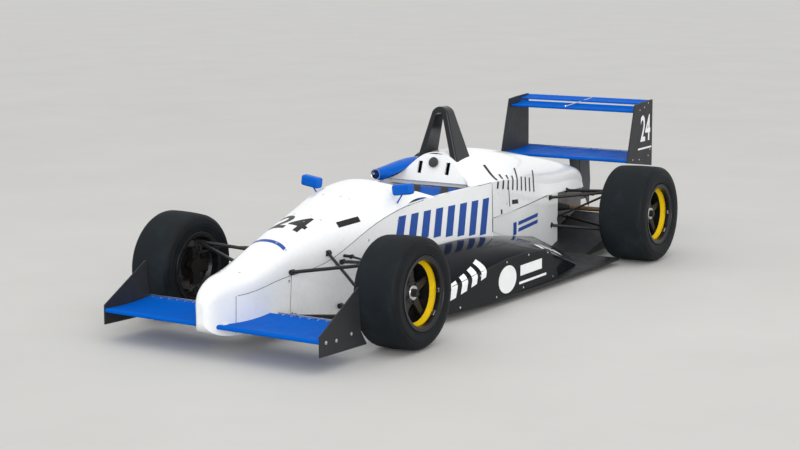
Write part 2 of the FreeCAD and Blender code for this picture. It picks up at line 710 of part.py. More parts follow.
GEARBOX_SECTIONS = (
    (BULKHEAD + 560.5, 150, 90, 390), (REAR_AXLE - 120, 150, 100, 390), (REAR_AXLE + 190, 92, 145, 380),
    (TAIL - 240, 66, 208, 340),
)


def gearbox_case():
    """Bell housing and gear case. Columns above: y, half width, low, high."""
    wires = []
    for y, half, low, high in GEARBOX_SECTIONS:
        wires.append(polygon([Vector(-half, y, low), Vector(half, y, low), Vector(half, y, high), Vector(-half, y, high)]))
    return loft(wires, ruled=True)


def build_gearbox(case):
    """Gear case that tapers to the rear, with the pickup studs and the jack tube."""
    arm = box(-31.5, 31.5, TAIL - 241, JACK_TUBE.y, 240, 300)
    bar = Part.makeCylinder(15, 160, JACK_TUBE - Vector(80, 0, 0), Vector(1, 0, 0))
    hole = Part.makeCylinder(10, 162, JACK_TUBE - Vector(81, 0, 0), Vector(1, 0, 0))
    return merged([case, arm, bar]).cut(hole)


# ---------------------------------------------------------------- wheels
def tyre_profile(radius, width, rim_width):
    """Half-plane outline of the tyre: (x across, r) with rounded shoulders and bowed walls."""
    half = width / 2
    bead = size("bead_radius") + size("fit_gap")
    bead_half = rim_width / 2 - 9
    tread = half - 30
    wall_radius = 0.5 * (radius + bead)
    edges = []
    crown_drop = 3
    low_left = Vector(-bead_half, 0, bead)
    low_right = Vector(bead_half, 0, bead)
    shoulder_right = Vector(tread, 0, radius - crown_drop)
    shoulder_left = Vector(-tread, 0, radius - crown_drop)
    side_right = Vector(half - 2, 0, radius - 34)
    side_left = Vector(-half + 2, 0, radius - 34)
    belly_right = Vector(half, 0, wall_radius)
    belly_left = Vector(-half, 0, wall_radius)
    foot_right = Vector(rim_width / 2 - 4, 0, size("rim_lip_radius") + 2)
    foot_left = Vector(-rim_width / 2 + 4, 0, size("rim_lip_radius") + 2)
    bend_right = Vector(half - 11, 0, radius - 13)
    bend_left = Vector(-half + 11, 0, radius - 13)
    edges.append(Part.makeLine(low_left, low_right))
    edges.append(Part.makeLine(low_right, Vector(bead_half, 0, size("rim_lip_radius") + 2)))
    edges.append(Part.makeLine(Vector(bead_half, 0, size("rim_lip_radius") + 2), foot_right))
    edges.append(Part.Arc(foot_right, belly_right, side_right).toShape())
    edges.append(Part.Arc(side_right, bend_right, shoulder_right).toShape())
    edges.append(Part.Arc(shoulder_right, Vector(0, 0, radius), shoulder_left).toShape())
    edges.append(Part.Arc(shoulder_left, bend_left, side_left).toShape())
    edges.append(Part.Arc(side_left, belly_left, foot_left).toShape())
    edges.append(Part.makeLine(foot_left, Vector(-bead_half, 0, size("rim_lip_radius") + 2)))
    edges.append(Part.makeLine(Vector(-bead_half, 0, size("rim_lip_radius") + 2), low_left))
    return Part.Face(Part.Wire(edges))


def make_tyre(radius, width, rim_width):
    """Slick tyre about the X axis."""
    return tyre_profile(radius, width, rim_width).revolve(Vector(0, 0, 0), Vector(1, 0, 0), 360)


DISH = 72.0
CENTRE_THICKNESS = 26.0


def make_rim(rim_width):
    """Barrel with outer and inner lips, dished centre with spokes, hub and brake disc."""
    half = rim_width / 2
    lip = size("rim_lip_radius")
    bead = size("bead_radius")
    skin = size("rim_skin")
    well = bead - 14
    outline = [
        (half, lip), (half - 8, lip), (half - 8, bead), (half - 40, bead), (half - 60, well),
        (-half + 60, well), (-half + 40, bead), (-half + 8, bead), (-half + 8, lip), (-half, lip),
        (-half, bead - skin), (-half + 42, bead - skin), (-half + 62, well - skin), (half - 62, well - skin),
        (half - 42, bead - skin), (half, bead - skin),
    ]
    barrel = Part.Face(polygon([Vector(x, 0, r) for x, r in outline]))
    barrel = barrel.revolve(Vector(0, 0, 0), Vector(1, 0, 0), 360)
    face = half - DISH
    pieces = [barrel]
    centre = Part.makeCylinder(58, CENTRE_THICKNESS, Vector(face - CENTRE_THICKNESS, 0, 0), Vector(1, 0, 0))
    pieces.append(centre)
    count = int(size("spoke_count"))
    for index in range(count):
        spoke = prism([
            Vector(face - 24, -30, 40), Vector(face - 24, 30, 40), Vector(face - 24, 17, well - skin + 2),
            Vector(face - 24, -17, well - skin + 2),
        ], Vector(20, 0, 0))
        spoke.rotate(Vector(0, 0, 0), Vector(1, 0, 0), 360 * index / count)
        pieces.append(spoke)
    pieces.append(Part.makeCylinder(26, 30, Vector(face - 4, 0, 0), Vector(1, 0, 0)))
    wheel = merged(pieces)
    return wheel


def make_disc(rim_width):
    """Brake disc and its bell on the wheel's hub."""
    face = rim_width / 2 - DISH
    disc_x = -52
    disc = Part.makeCylinder(size("disc_radius"), size("disc_thickness"), Vector(disc_x, 0, 0), Vector(1, 0, 0))
    disc = disc.cut(Part.makeCylinder(70, 20, Vector(disc_x - 3, 0, 0), Vector(1, 0, 0)))
    bell = Part.makeCylinder(72, face - CENTRE_THICKNESS - disc_x - size("fit_gap"), Vector(disc_x, 0, 0), Vector(1, 0, 0))
    bell = bell.cut(Part.makeCylinder(64, 20, Vector(disc_x - 3, 0, 0), Vector(1, 0, 0)))
    bore = Part.makeCylinder(size("spindle_radius") + size("fit_gap"), 200, Vector(disc_x - 3, 0, 0), Vector(1, 0, 0))
    return disc.fuse(bell).cut(bore).removeSplitter()


# One row per wheel. Columns: corner, side, y, half track, tyre radius, tyre width, rim width, camber.
WHEELS = (
    ("front_left", 1, FRONT_AXLE, "front"), ("front_right", -1, FRONT_AXLE, "front"),
    ("rear_left", 1, REAR_AXLE, "rear"), ("rear_right", -1, REAR_AXLE, "rear"),
)


def hub_height(end):
    """Height of the wheel centre that puts the tyre's lowest edge on the ground."""
    camber = math.radians(size(end + "_camber"))
    profile = tyre_profile(size(end + "_tyre_radius"), size(end + "_tyre_width"), size(end + "_rim_width"))
    reach = 0.0
    for point in profile.OuterWire.discretize(2000):
        reach = max(reach, point.z * math.cos(camber) + abs(point.x) * math.sin(camber))
    return reach


def wheel_placement(side, y, end):
    """Placement of a wheel whose own axis is X, leaning in at the top."""
    turn = 0 if side > 0 else 180
    spin = Rotation(Vector(0, 0, 1), turn)
    lean = Rotation(Vector(0, 1, 0), -side * size(end + "_camber"))
    return Placement(Vector(side * size(end + "_track") / 2, y, hub_height(end)), lean.multiply(spin))


def build_wheels():
    """Four tyres and four wheels."""
    for corner, side, y, end in WHEELS:
        place = wheel_placement(side, y, end)
        tyre = node("tyre_" + corner, make_tyre(size(end + "_tyre_radius"), size(end + "_tyre_width"),
                                                size(end + "_rim_width")))
        tyre.Placement = place
        rim = make_rim(size(end + "_rim_width"))
        disc = make_disc(size(end + "_rim_width"))
        wheel = node("wheel_" + corner, apart([rim, disc]))
        wheel.Placement = place


# ---------------------------------------------------------------- suspension
FRONT_HUB = Vector(size("front_track") / 2, FRONT_AXLE, hub_height("front"))
KINGPIN_X = size("front_track") / 2 - size("kingpin_offset")
UPPER_JOINT = Vector(KINGPIN_X - 8, FRONT_AXLE + 4, FRONT_HUB.z + size("kingpin_reach"))
LOWER_JOINT = Vector(KINGPIN_X + 2, FRONT_AXLE - 4, FRONT_HUB.z - size("kingpin_reach"))
KINGPIN = (UPPER_JOINT - LOWER_JOINT).normalize()
ARM_HEIGHT = 84.0
ARM_ROOT = LOWER_JOINT + KINGPIN * ((FRONT_HUB.z + ARM_HEIGHT - LOWER_JOINT.z) / KINGPIN.z)
ARM_END = ARM_ROOT + Vector(0, size("steer_arm"), 0)
RACK_END = Vector(248, behind_axle(212), 372)
RACK_RADIUS = 8.0
JOINT = size("joint_radius")
PIN_RADIUS = 6.0
EYE_RADIUS = 15.0
EYE_HALF = 7.0
REAR_HUB = Vector(size("rear_track") / 2, REAR_AXLE, hub_height("rear"))
REAR_UPPER_JOINT = Vector(REAR_HUB.x - 130, REAR_AXLE, REAR_HUB.z + 124)
REAR_LOWER_JOINT = Vector(REAR_HUB.x - 124, REAR_AXLE, REAR_HUB.z - 124)
REAR_PIN = (REAR_UPPER_JOINT - REAR_LOWER_JOINT).normalize()
REAR_FEET = (
    Vector(212, in_bay(0.82), 372), Vector(130, in_bay(1.16), 362),
    Vector(200, in_bay(0.85), 192), Vector(130, in_bay(1.18), 186),
)
PULL_FOOT = Vector(156, in_bay(0.95), 215)


def centred_rod(centre, axis, half_length, radius):
    """Round bar centred on a point."""
    return rod(centre - axis * half_length, centre + axis * half_length, radius)


def wishbone(front_foot, rear_foot, outer, axis, radius):
    """Two legs from their inner joints to an eye on the upright's pin."""
    eye = centred_rod(outer, axis, EYE_HALF, EYE_RADIUS)
    tip_front = short_of(front_foot, outer, 10)
    tip_rear = short_of(rear_foot, outer, 10)
    pieces = [eye, rod(front_foot, tip_front, radius), rod(rear_foot, tip_rear, radius)]
    pieces += [centred_rod(foot, Vector(0, 1, 0), JOINT, JOINT) for foot in (front_foot, rear_foot)]
    middle = (front_foot + rear_foot) * 0.5
    pieces.append(rod(short_of(middle, outer, 70), short_of(middle, outer, 12), 1.2 * radius))
    hole = centred_rod(outer, axis, EYE_HALF + 20, PIN_RADIUS + size("fit_gap"))
    return merged(pieces).cut(hole)


def short_of(start, end, distance):
    """Point on the way from start to end, that distance before the end."""
    axis = end - start
    return start + axis * ((axis.Length - distance) / axis.Length)


def lug(foot, reach):
    """Bracket stud from an inner joint towards the middle of the car."""
    return rod(foot, foot - Vector(reach, 0, 0), 7)


def foot_beside(solid, distance, height, clear=13.0):
    """Inner joint of an arm, just clear of the tub's flank."""
    y = behind_axle(distance)
    return Vector(side_x(solid, y, height) + clear, y, height)


def build_front_suspension(nose_box, tub, nose_cone):
    """Left front wishbones and pushrod, trimmed to the body."""
    radius = size("arm_radius")
    body = [tub, nose_box, nose_cone]
    feet = [foot_beside(nose_cone, -165, 346), foot_beside(tub, 190, 345),
            foot_beside(tub, -140, 118), foot_beside(tub, 200, 112)]
    upper = wishbone(feet[0], feet[1], UPPER_JOINT, KINGPIN, radius)
    lower = wishbone(feet[2], feet[3], LOWER_JOINT, KINGPIN, radius)
    foot = short_of((feet[2] + feet[3]) * 0.5, LOWER_JOINT, 46) + Vector(0, 0, 4)
    top = foot_beside(nose_cone, 98, 402, 3.0)
    pushrod = merged([rod(foot, top, size("pushrod_radius")), centred_rod(top, Vector(0, 1, 0), 12, 15)])
    pin = centred_rod(LOWER_JOINT, KINGPIN, 40, PIN_RADIUS + size("fit_gap"))
    upper = merged([upper, lug(feet[0], 45), lug(feet[1], 36)]).cut(body)
    lower = merged([lower, pushrod.cut(pin), lug(feet[2], 45), lug(feet[3], 36)]).cut(body)
    return [max(arm.Solids, key=lambda solid: solid.Volume) for arm in (upper, lower)]


def knuckle_base(hub, end, inner_x, caliper_side, upper, lower, axis):
    """Upright with its hub, spindle, caliper and the two joint pins."""
    lean = Placement(hub, Rotation(Vector(0, 1, 0), -size(end + "_camber")))
    reach = hub.x - inner_x
    boss = Part.makeCylinder(46, 34, Vector(-reach - 10, 0, 0), Vector(1, 0, 0))
    spindle_end = size(end + "_rim_width") / 2 - DISH - CENTRE_THICKNESS - size("fit_gap")
    spindle = Part.makeCylinder(size("spindle_radius"), reach + spindle_end, Vector(-reach, 0, 0), Vector(1, 0, 0))
    caliper = Part.makeBox(50, 58, 100, Vector(-70, 76 if caliper_side > 0 else -134, -50))
    bracket = Part.makeBox(reach - 44, 60, 56, Vector(-reach, 34 if caliper_side > 0 else -94, -28))
    groove = Part.makeCylinder(size("disc_radius") + 5, size("disc_thickness") + 8, Vector(-56, 0, 0), Vector(1, 0, 0))
    local = [boss, spindle, caliper.cut(groove), bracket.cut(groove)]
    for piece in local:
        piece.Placement = lean
    post = box(inner_x - 6, inner_x + 22, hub.y - 30, hub.y + 30, hub.z - 98, hub.z + 98)
    pins = [rod(upper - axis * 40, upper + axis * 9, PIN_RADIUS), rod(lower - axis * 9, lower + axis * 40, PIN_RADIUS)]
    return [post] + local + pins


def build_front_upright():
    """Left front knuckle with its steering arm and track rod pin."""
    pieces = knuckle_base(FRONT_HUB, "front", KINGPIN_X, 1, UPPER_JOINT, LOWER_JOINT, KINGPIN)
    drop = Vector(0, 0, 18)
    pieces.append(rod(ARM_ROOT - drop, ARM_END - drop, 8))
    pieces.append(rod(ARM_END - Vector(0, 0, 22), ARM_END + Vector(0, 0, 12), 4))
    return merged(pieces)


def build_track_rods():
    """Steering rack bar and the two track rods with open eyes at the steering arms."""
    rods = []
    for side in (1, -1):
        inner = Vector(side * RACK_END.x, RACK_END.y, RACK_END.z)
        eye = Vector(side * ARM_END.x, ARM_END.y, ARM_END.z)
        bar = rod(inner, short_of(inner, eye, 12), size("track_rod_radius"))
        ring = centred_rod(eye, Vector(0, 0, 1), 6, 14)
        hole = centred_rod(eye, Vector(0, 0, 1), 8, 9.5)
        rods.append(merged([bar, ring, centred_rod(inner, Vector(0, 1, 0), 9, 11)]).cut(hole))
    rack = rod(Vector(-RACK_END.x, RACK_END.y, RACK_END.z), RACK_END, RACK_RADIUS)
    return merged(rods + [rack])


def build_rear_suspension(case):
    """Left rear wishbones and pull rod, with studs to the gear case."""
    radius = size("arm_radius")
    feet = REAR_FEET
    upper = wishbone(feet[0], feet[1], REAR_UPPER_JOINT, REAR_PIN, radius)
    lower = wishbone(feet[2], feet[3], REAR_LOWER_JOINT, REAR_PIN, radius)
    top = short_of((feet[0] + feet[1]) * 0.5, REAR_UPPER_JOINT, 46) - Vector(0, 0, 4)
    pin = centred_rod(REAR_UPPER_JOINT, REAR_PIN, 40, PIN_RADIUS + size("fit_gap"))
    pull = merged([rod(PULL_FOOT, top, 7), centred_rod(PULL_FOOT, Vector(0, 1, 0), 11, 13), lug(PULL_FOOT, 40)])
    upper = merged([upper, pull.cut(pin), lug(feet[0], 90), lug(feet[1], 60)]).cut(case)
    lower = merged([lower, lug(feet[2], 80), lug(feet[3], 60)]).cut(case)
    return [max(arm.Solids, key=lambda solid: solid.Volume) for arm in (upper, lower)]


def build_rear_upright():
    """Left rear upright with its hub, caliper and joint pins."""
    return merged(knuckle_base(REAR_HUB, "rear", REAR_HUB.x - 122, -1, REAR_UPPER_JOINT, REAR_LOWER_JOINT, REAR_PIN))


def build_driveshafts(case):
    """Drive shafts with a joint boot at each end."""
    inner = Vector(100, REAR_AXLE, 282)
    outer = Vector(REAR_HUB.x - 122 - 11, REAR_AXLE, REAR_HUB.z)
    boot_end = inner + (outer - inner) * 0.27
    shaft = merged([rod(inner, outer, 14), rod(inner, boot_end, 34), rod(short_of(inner, outer, 44), outer, 30)])
    shaft = shaft.cut(case)
    return apart([shaft, mirrored(shaft)])


# ---------------------------------------------------------------- the car
nose_cone = build_nose_cone()
nose_box = build_nose_box(nose_cone)
tub = build_monocoque(nose_cone)
floor_shape = build_floor()
headrest = build_headrest_panel()
hoop = build_roll_hoop(headrest, tub)
node("nose_cone", nose_cone)
node("nose_box", nose_box)
node("monocoque", tub)
node("engine_cover", build_engine_cover(hoop))
node("side_panels", build_side_panels(floor_shape))
node("headrest_panel", headrest)
add_headrest_pad()
node("roll_hoop", hoop)
node("air_scoop", build_air_scoop(headrest))
node("mirrors", build_mirrors(nose_cone))
seat = build_seat()
node("seat", seat)
node("harness", build_harness(seat))
node("dash_panel", build_dash_panel())
node("steering_wheel", build_steering_wheel())
pod = build_sidepod()
node("sidepod_left", pod)
node("sidepod_right", mirrored(pod))
node("radiators", build_radiators())
node("floor", floor_shape)
front_wing = build_front_wing(nose_cone, nose_box)
node("front_wing_left", front_wing)
node("front_wing_right", mirrored(front_wing))
node("front_endplates", build_front_endplates())
lower_plane = build_rear_wing_lower()
node("rear_wing_lower", lower_plane)
node("rear_wing_upper", build_rear_wing_upper())
node("rear_endplates", build_rear_endplates())
node("wing_pylon", build_wing_pylon(lower_plane))
add_engine_block()
case = gearbox_case()
node("gearbox", build_gearbox(case))
build_wheels()
front_arms = apart(build_front_suspension(nose_box, tub, nose_cone))
node("front_suspension_left", front_arms)
node("front_suspension_right", mirrored(front_arms))
front_upright = build_front_upright()
node("front_upright_left", front_upright)
node("front_upright_right", mirrored(front_upright))
node("track_rods", build_track_rods())
rear_arms = apart(build_rear_suspension(case))
node("rear_suspension_left", rear_arms)
node("rear_suspension_right", mirrored(rear_arms))
rear_upright = build_rear_upright()
node("rear_upright_left", rear_upright)
node("rear_upright_right", mirrored(rear_upright))
node("driveshafts", build_driveshafts(case))
document.recompute()

# ---------------------------------------------------------------- checks and files
SOLID_KINDS = ("Part::Feature", "Part::Box", "Part::Cylinder")
sub_parts = [item for item in document.Objects if item.TypeId in SOLID_KINDS]
for item in document.Objects:
    if "Invalid" in item.State or "Error" in item.State:
        raise RuntimeError("failed: %s %s" % (item.Label, item.State))
for item in sub_parts:
    if item.Shape.isNull() or not item.Shape.isValid():
        raise RuntimeError("bad shape: " + item.Label)
    for solid in item.Shape.Solids:
        if solid.Volume <= 0:
            raise RuntimeError("no volume: " + item.Label)

os.makedirs("parts", exist_ok=True)
for item in sub_parts:
    item.Shape.exportStep("parts/%s.step" % item.Label)
    print("%-24s solids %d volume %.1f cm3" % (item.Label, len(item.Shape.Solids), item.Shape.Volume / 1000))
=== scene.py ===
import math

import bmesh
import bpy
from mathutils import Matrix, Vector


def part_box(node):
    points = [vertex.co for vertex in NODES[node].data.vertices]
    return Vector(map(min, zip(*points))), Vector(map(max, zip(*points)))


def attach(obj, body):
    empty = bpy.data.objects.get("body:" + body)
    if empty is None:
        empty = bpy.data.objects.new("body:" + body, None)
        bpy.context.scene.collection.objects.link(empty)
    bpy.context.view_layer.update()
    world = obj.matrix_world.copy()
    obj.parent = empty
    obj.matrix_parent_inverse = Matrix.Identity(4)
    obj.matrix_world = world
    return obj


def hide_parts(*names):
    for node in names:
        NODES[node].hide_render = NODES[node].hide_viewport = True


bl_info = {
    "name": "Open wheel racing car",
    "version": (1, 0, 0),
    "blender": (4, 5, 0),
    "location": "View3D > Sidebar > Race car",
    "description": "Finishes and trims a single-seat racing car round its CAD frame",
    "category": "Object",
}

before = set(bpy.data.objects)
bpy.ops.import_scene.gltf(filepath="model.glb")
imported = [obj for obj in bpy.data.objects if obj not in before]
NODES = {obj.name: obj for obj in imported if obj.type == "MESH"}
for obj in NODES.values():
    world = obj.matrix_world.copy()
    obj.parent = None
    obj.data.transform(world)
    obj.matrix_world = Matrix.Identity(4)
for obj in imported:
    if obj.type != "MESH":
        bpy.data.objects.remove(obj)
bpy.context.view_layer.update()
CORNERS = ("front_left", "front_right", "rear_left", "rear_right")

# Axles, half the rear track, the nose box's and the cover's front joints, and the side panels' upper one.
FRONT_AXLE = -1.368
REAR_AXLE = 1.307
REAR_HALF_TRACK = 0.717
NOSE_JOINT = FRONT_AXLE - 0.155
BULKHEAD = 0.176
PANEL_TOP = 0.3848
# Tyre radius, tyre width and rim width.
TYRE_SIZES = {"front": (0.276, 0.246, 0.243), "rear": (0.290, 0.296, 0.282)}
FULL_TURN = 2 * math.pi
# Where rays at the body start: left of it, or above it.
OUTSIDE = 1.3
ABOVE = 1.4
# How far marks stand off the body, and the thinnest strip cut from them.
MARK_LIFT = 0.0010
THIN_STRIP = 0.002
# Steps tried along a mark where a ray meets a gap between two pieces.
GAP_STEPS = (0.0, 0.0015, -0.0015, 0.004, -0.004, 0.010, -0.010)
GROUND_SIZE = 300.0
SENSOR_WIDTH = 36.0


# ---------------------------------------------------------------- settings
class PaintSettings(bpy.types.PropertyGroup):
    """Colours of the car's paint and bare parts."""

    white: bpy.props.FloatVectorProperty(
        name="Body white", description="Bodywork paint", subtype="COLOR", size=3, min=0, max=1,
        default=(0.80, 0.815, 0.825))
    blue: bpy.props.FloatVectorProperty(
        name="Wing blue", description="Wings, mirrors, scoop and seat", subtype="COLOR", size=3, min=0, max=1,
        default=(0.0, 0.100, 0.50))
    black: bpy.props.FloatVectorProperty(
        name="Gloss black", description="Side pods and roll hoop", subtype="COLOR", size=3, min=0, max=1,
        default=(0.008, 0.009, 0.012))
    charcoal: bpy.props.FloatVectorProperty(
        name="Charcoal", description="End plates and flat trim", subtype="COLOR", size=3, min=0, max=1,
        default=(0.018, 0.019, 0.022))
    rubber: bpy.props.FloatVectorProperty(
        name="Rubber", description="Tyres", subtype="COLOR", size=3, min=0, max=1,
        default=(0.0085, 0.0115, 0.0140))
    yellow: bpy.props.FloatVectorProperty(
        name="Rim yellow", description="Band inside the wheel rims", subtype="COLOR", size=3, min=0, max=1,
        default=(0.66, 0.44, 0.004))


class WheelSettings(bpy.types.PropertyGroup):
    """Lean and spokes of the wheels."""

    front_camber: bpy.props.FloatProperty(
        name="Front camber", description="Lean of the front wheels' tops inwards", subtype="ANGLE",
        default=math.radians(2.0))
    rear_camber: bpy.props.FloatProperty(
        name="Rear camber", description="Lean of the rear wheels' tops inwards", subtype="ANGLE",
        default=math.radians(1.3))
    spokes: bpy.props.IntProperty(name="Spokes", description="Spokes in each wheel", min=3, max=9, default=5)


class TrimSettings(bpy.types.PropertyGroup):
    """Racing number."""

    number: bpy.props.StringProperty(
        name="Number", description="Racing number on the nose and the rear plates", default="24")


class StageSettings(bpy.types.PropertyGroup):
    """Camera, lamps and sky."""

    eye: bpy.props.FloatVectorProperty(
        name="Camera place", description="Where the camera stands", subtype="TRANSLATION", unit="LENGTH",
        size=3, default=(4.8787, -7.9895, 1.9459))
    heading: bpy.props.FloatProperty(
        name="Heading", description="Camera's turn to the left of straight back", subtype="ANGLE",
        default=math.radians(32.418))
    pitch: bpy.props.FloatProperty(
        name="Pitch", description="Camera's tilt above level", subtype="ANGLE", default=math.radians(-9.717))
    roll: bpy.props.FloatProperty(
        name="Roll", description="Camera's lean", subtype="ANGLE", default=math.radians(-0.250))
    lens: bpy.props.FloatProperty(
        name="Lens", description="Focal length on a 36 mm wide sensor", min=10, max=300, default=74.64)
    lamp: bpy.props.FloatProperty(
        name="Lamp strength", description="Power of the large overhead lamp", subtype="POWER", unit="POWER",
        min=0, default=78.0)
    fill: bpy.props.FloatProperty(
        name="Fill strength", description="Soft light from the nose's left, in watts per square metre", min=0,
        default=1.6)
    sky: bpy.props.FloatProperty(
        name="Sky strength", description="Even light from all round", min=0, max=2, default=0.88)


# ---------------------------------------------------------------- finishes
class Finish:
    """A material round one Principled shader, with patterns laid on Object coordinates."""

    def __init__(self, name, colour, roughness, **sockets):
        self.material = bpy.data.materials.new(name)
        self.material.use_nodes = True
        self.tree = self.material.node_tree
        self.shader = self.tree.nodes["Principled BSDF"]
        self.place = self.node("ShaderNodeTexCoord").outputs["Object"]
        self.set("Base Color", (*colour, 1.0))
        self.set("Roughness", roughness)
        for socket, value in sockets.items():
            self.set(socket.replace("_", " "), value)

    def dull(self, level):
        """Weaker mirror reflection than plain plastic has."""
        self.set("Specular IOR Level", level)
        return self

    def node(self, kind, feeds=None, **settings):
        """New node with its properties set and its named sockets fed."""
        made = self.tree.nodes.new(kind)
        for key, value in settings.items():
            setattr(made, key, value)
        for key, value in (feeds or {}).items():
            self.feed(made.inputs[key], value)
        return made

    def set(self, socket, value):
        """Give a shader socket a plain value or a link."""
        self.feed(self.shader.inputs[socket], value)

    def feed(self, socket, value):
        """Plain value or link into any socket."""
        if isinstance(value, bpy.types.NodeSocket):
            self.tree.links.new(value, socket)
        else:
            socket.default_value = value

    def noise(self, scale, detail=4.0, roughness=0.55):
        """Cloudy pattern from 0 to 1."""
        feeds = {"Vector": self.place, "Scale": scale, "Detail": detail, "Roughness": roughness}
        return self.node("ShaderNodeTexNoise", feeds).outputs["Fac"]

    def wave(self, direction, scale, distortion):
        """Bands across one axis, from 0 to 1."""
        feeds = {"Vector": self.place, "Scale": scale, "Distortion": distortion}
        return self.node("ShaderNodeTexWave", feeds, bands_direction=direction).outputs["Fac"]

    def math(self, operation, first, second=0.0, third=0.0):
        """One sum on numbers."""
        made = self.node("ShaderNodeMath", operation=operation)
        for socket, value in zip(made.inputs, (first, second, third)):
            self.feed(socket, value)
        return made.outputs[0]

    def between(self, value, low, high, to_low=0.0, to_high=1.0):
        """Smooth step of a value from one range to another."""
        feeds = {"Value": value, "From Min": low, "From Max": high, "To Min": to_low, "To Max": to_high}
        return self.node("ShaderNodeMapRange", feeds, interpolation_type="SMOOTHSTEP").outputs[0]

    def mix(self, share, first, second):
        """Colour between two colours."""
        made = self.node("ShaderNodeMix", {"Factor": share}, data_type="RGBA")
        for key, colour in (("A", first), ("B", second)):
            self.feed(made.inputs[key], (*colour, 1.0) if isinstance(colour, tuple) else colour)
        return made.outputs["Result"]

    def stain(self, pattern, span, clean, marked):
        """Base colour that goes from clean to marked as a pattern crosses the span."""
        self.set("Base Color", self.mix(self.between(pattern, *span), clean, marked))

    def polish(self, pattern, *span):
        """Roughness that follows a pattern over the span."""
        self.set("Roughness", self.between(pattern, *span))

    def axes(self):
        """X, Y and Z of the Object coordinates."""
        return self.node("ShaderNodeSeparateXYZ", {"Vector": self.place}).outputs

    def bump(self, height, distance, strength=1.0):
        """Fine relief on the surface."""
        made = self.node("ShaderNodeBump", {"Strength": strength, "Distance": distance, "Height": height})
        self.set("Normal", made.outputs[0])
        return self


def paint_all(finish, *nodes):
    """Give CAD nodes one of the shared finishes."""
    for name in nodes:
        for item in NODES[name].material_slots:
            item.material = FINISHES[finish].material


def shade(colour, factor, lift=0.0, top=1.0):
    """A colour made darker or paler."""
    return tuple(min(top, factor * c + lift) for c in colour)


def white_paint(colour):
    """Old white racing paint: glossy, faintly dusty, with a slight orange peel."""
    made = Finish("white_paint", colour, 0.32, Coat_Weight=0.6, Coat_Roughness=0.08)
    dust = made.noise(2.3, 6.0, 0.6)
    soil = made.math("MULTIPLY", dust, made.noise(38.0, 3.0))
    made.stain(soil, (0.22, 0.55, 0.0, 0.35), colour, shade(colour, 0.80))
    made.polish(dust, 0.3, 0.7, 0.26, 0.40)
    return made.bump(made.noise(220.0, 2.0), 0.0002, 0.12)


def blue_paint(name, colour, roughness):
    """Deep blue paint with scuffs."""
    made = Finish(name, colour, roughness)
    wear = made.noise(9.0, 8.0, 0.65)
    made.stain(wear, (0.58, 0.85, 0.0, 0.5), colour, shade(colour, 0.9, 0.02))
    made.polish(wear, 0.3, 0.75, roughness, roughness + 0.22)
    return made.bump(made.noise(180.0, 2.0), 0.0002, 0.1)


def black_gloss(colour):
    """Polished black bodywork with a film of dust."""
    made = Finish("black_gloss", colour, 0.12)
    dust = made.noise(5.0, 7.0, 0.62)
    made.stain(dust, (0.45, 0.8, 0.0, 0.7), colour, shade(colour, 1.0, 0.008))
    made.polish(dust, 0.3, 0.75, 0.07, 0.20)
    return made


DULL_PANEL = (0.024, 0.025, 0.027)
# The pod's dull panel: length its edge curve covers, leaning rear end, inner limit, and upper edge
# as distances behind the front axle with heights.
POD_REACH = 2.0
POD_END = 1.64
POD_END_HEIGHT = 0.21
POD_END_LEAN = 0.663
POD_INNER = 0.50
POD_PANEL_EDGE = ((0.45, 0.150), (0.60, 0.185), (0.82, 0.220), (1.11, 0.250), (1.34, 0.250), (1.58, 0.225),
                  (1.66, 0.200))


def pod_paint(colour):
    """Gloss black pod whose flat side below the shoulder is a dull dark panel."""
    made = black_gloss(colour)
    made.material.name = "pod_paint"
    x, y, z = made.axes()
    behind = made.math("SUBTRACT", y, FRONT_AXLE)
    curve = made.node("ShaderNodeFloatCurve", {"Value": made.math("DIVIDE", behind, POD_REACH)})
    points = curve.mapping.curves[0].points
    for index, (place, height) in enumerate(POD_PANEL_EDGE):
        if index < 2:
            points[index].location = (place / POD_REACH, height)
        else:
            points.new(place / POD_REACH, height)
    curve.mapping.update()
    under = made.math("LESS_THAN", z, curve.outputs[0])
    slant = made.math("MULTIPLY_ADD", made.math("SUBTRACT", POD_END_HEIGHT, z), POD_END_LEAN, POD_END)
    ahead = made.math("LESS_THAN", behind, slant)
    outer = made.math("GREATER_THAN", made.math("ABSOLUTE", x), POD_INNER)
    panel = made.math("MULTIPLY", made.math("MULTIPLY", under, ahead), outer)
    base = made.shader.inputs["Base Color"].links[0].from_socket
    gloss = made.shader.inputs["Roughness"].links[0].from_socket
    made.set("Base Color", made.mix(panel, base, DULL_PANEL))
    made.set("Roughness", made.math("MULTIPLY_ADD", panel, 0.5, gloss))
    return made


def charcoal_plate(colour):
    """Flat dark plate, rubbed and a little scratched."""
    made = Finish("charcoal_plate", colour, 0.5)
    rub = made.noise(14.0, 8.0, 0.7)
    made.stain(rub, (0.45, 0.8, 0.0, 0.6), colour, shade(colour, 1.7))
    made.polish(rub, 0.3, 0.8, 0.42, 0.62)
    return made


def black_steel():
    """Satin black tube with chips and grease."""
    black = (0.012, 0.012, 0.013)
    made = Finish("black_steel", black, 0.36)
    made.stain(made.noise(60.0, 4.0, 0.6), (0.66, 0.74), black, (0.09, 0.085, 0.08))
    made.polish(made.noise(20.0), 0.3, 0.7, 0.28, 0.5)
    return made


def tread_rubber(colour):
    """Worn slick tread: dull, grained across and picked with grit."""
    made = Finish("tread_rubber", colour, 0.88)
    scuff = made.noise(7.0, 8.0, 0.68)
    made.stain(scuff, (0.42, 0.74, 0.0, 0.8), colour, shade(colour, 2.1))
    made.polish(scuff, 0.3, 0.7, 0.74, 0.93)
    return made.bump(made.noise(260.0, 3.0, 0.6), 0.0012, 0.35)


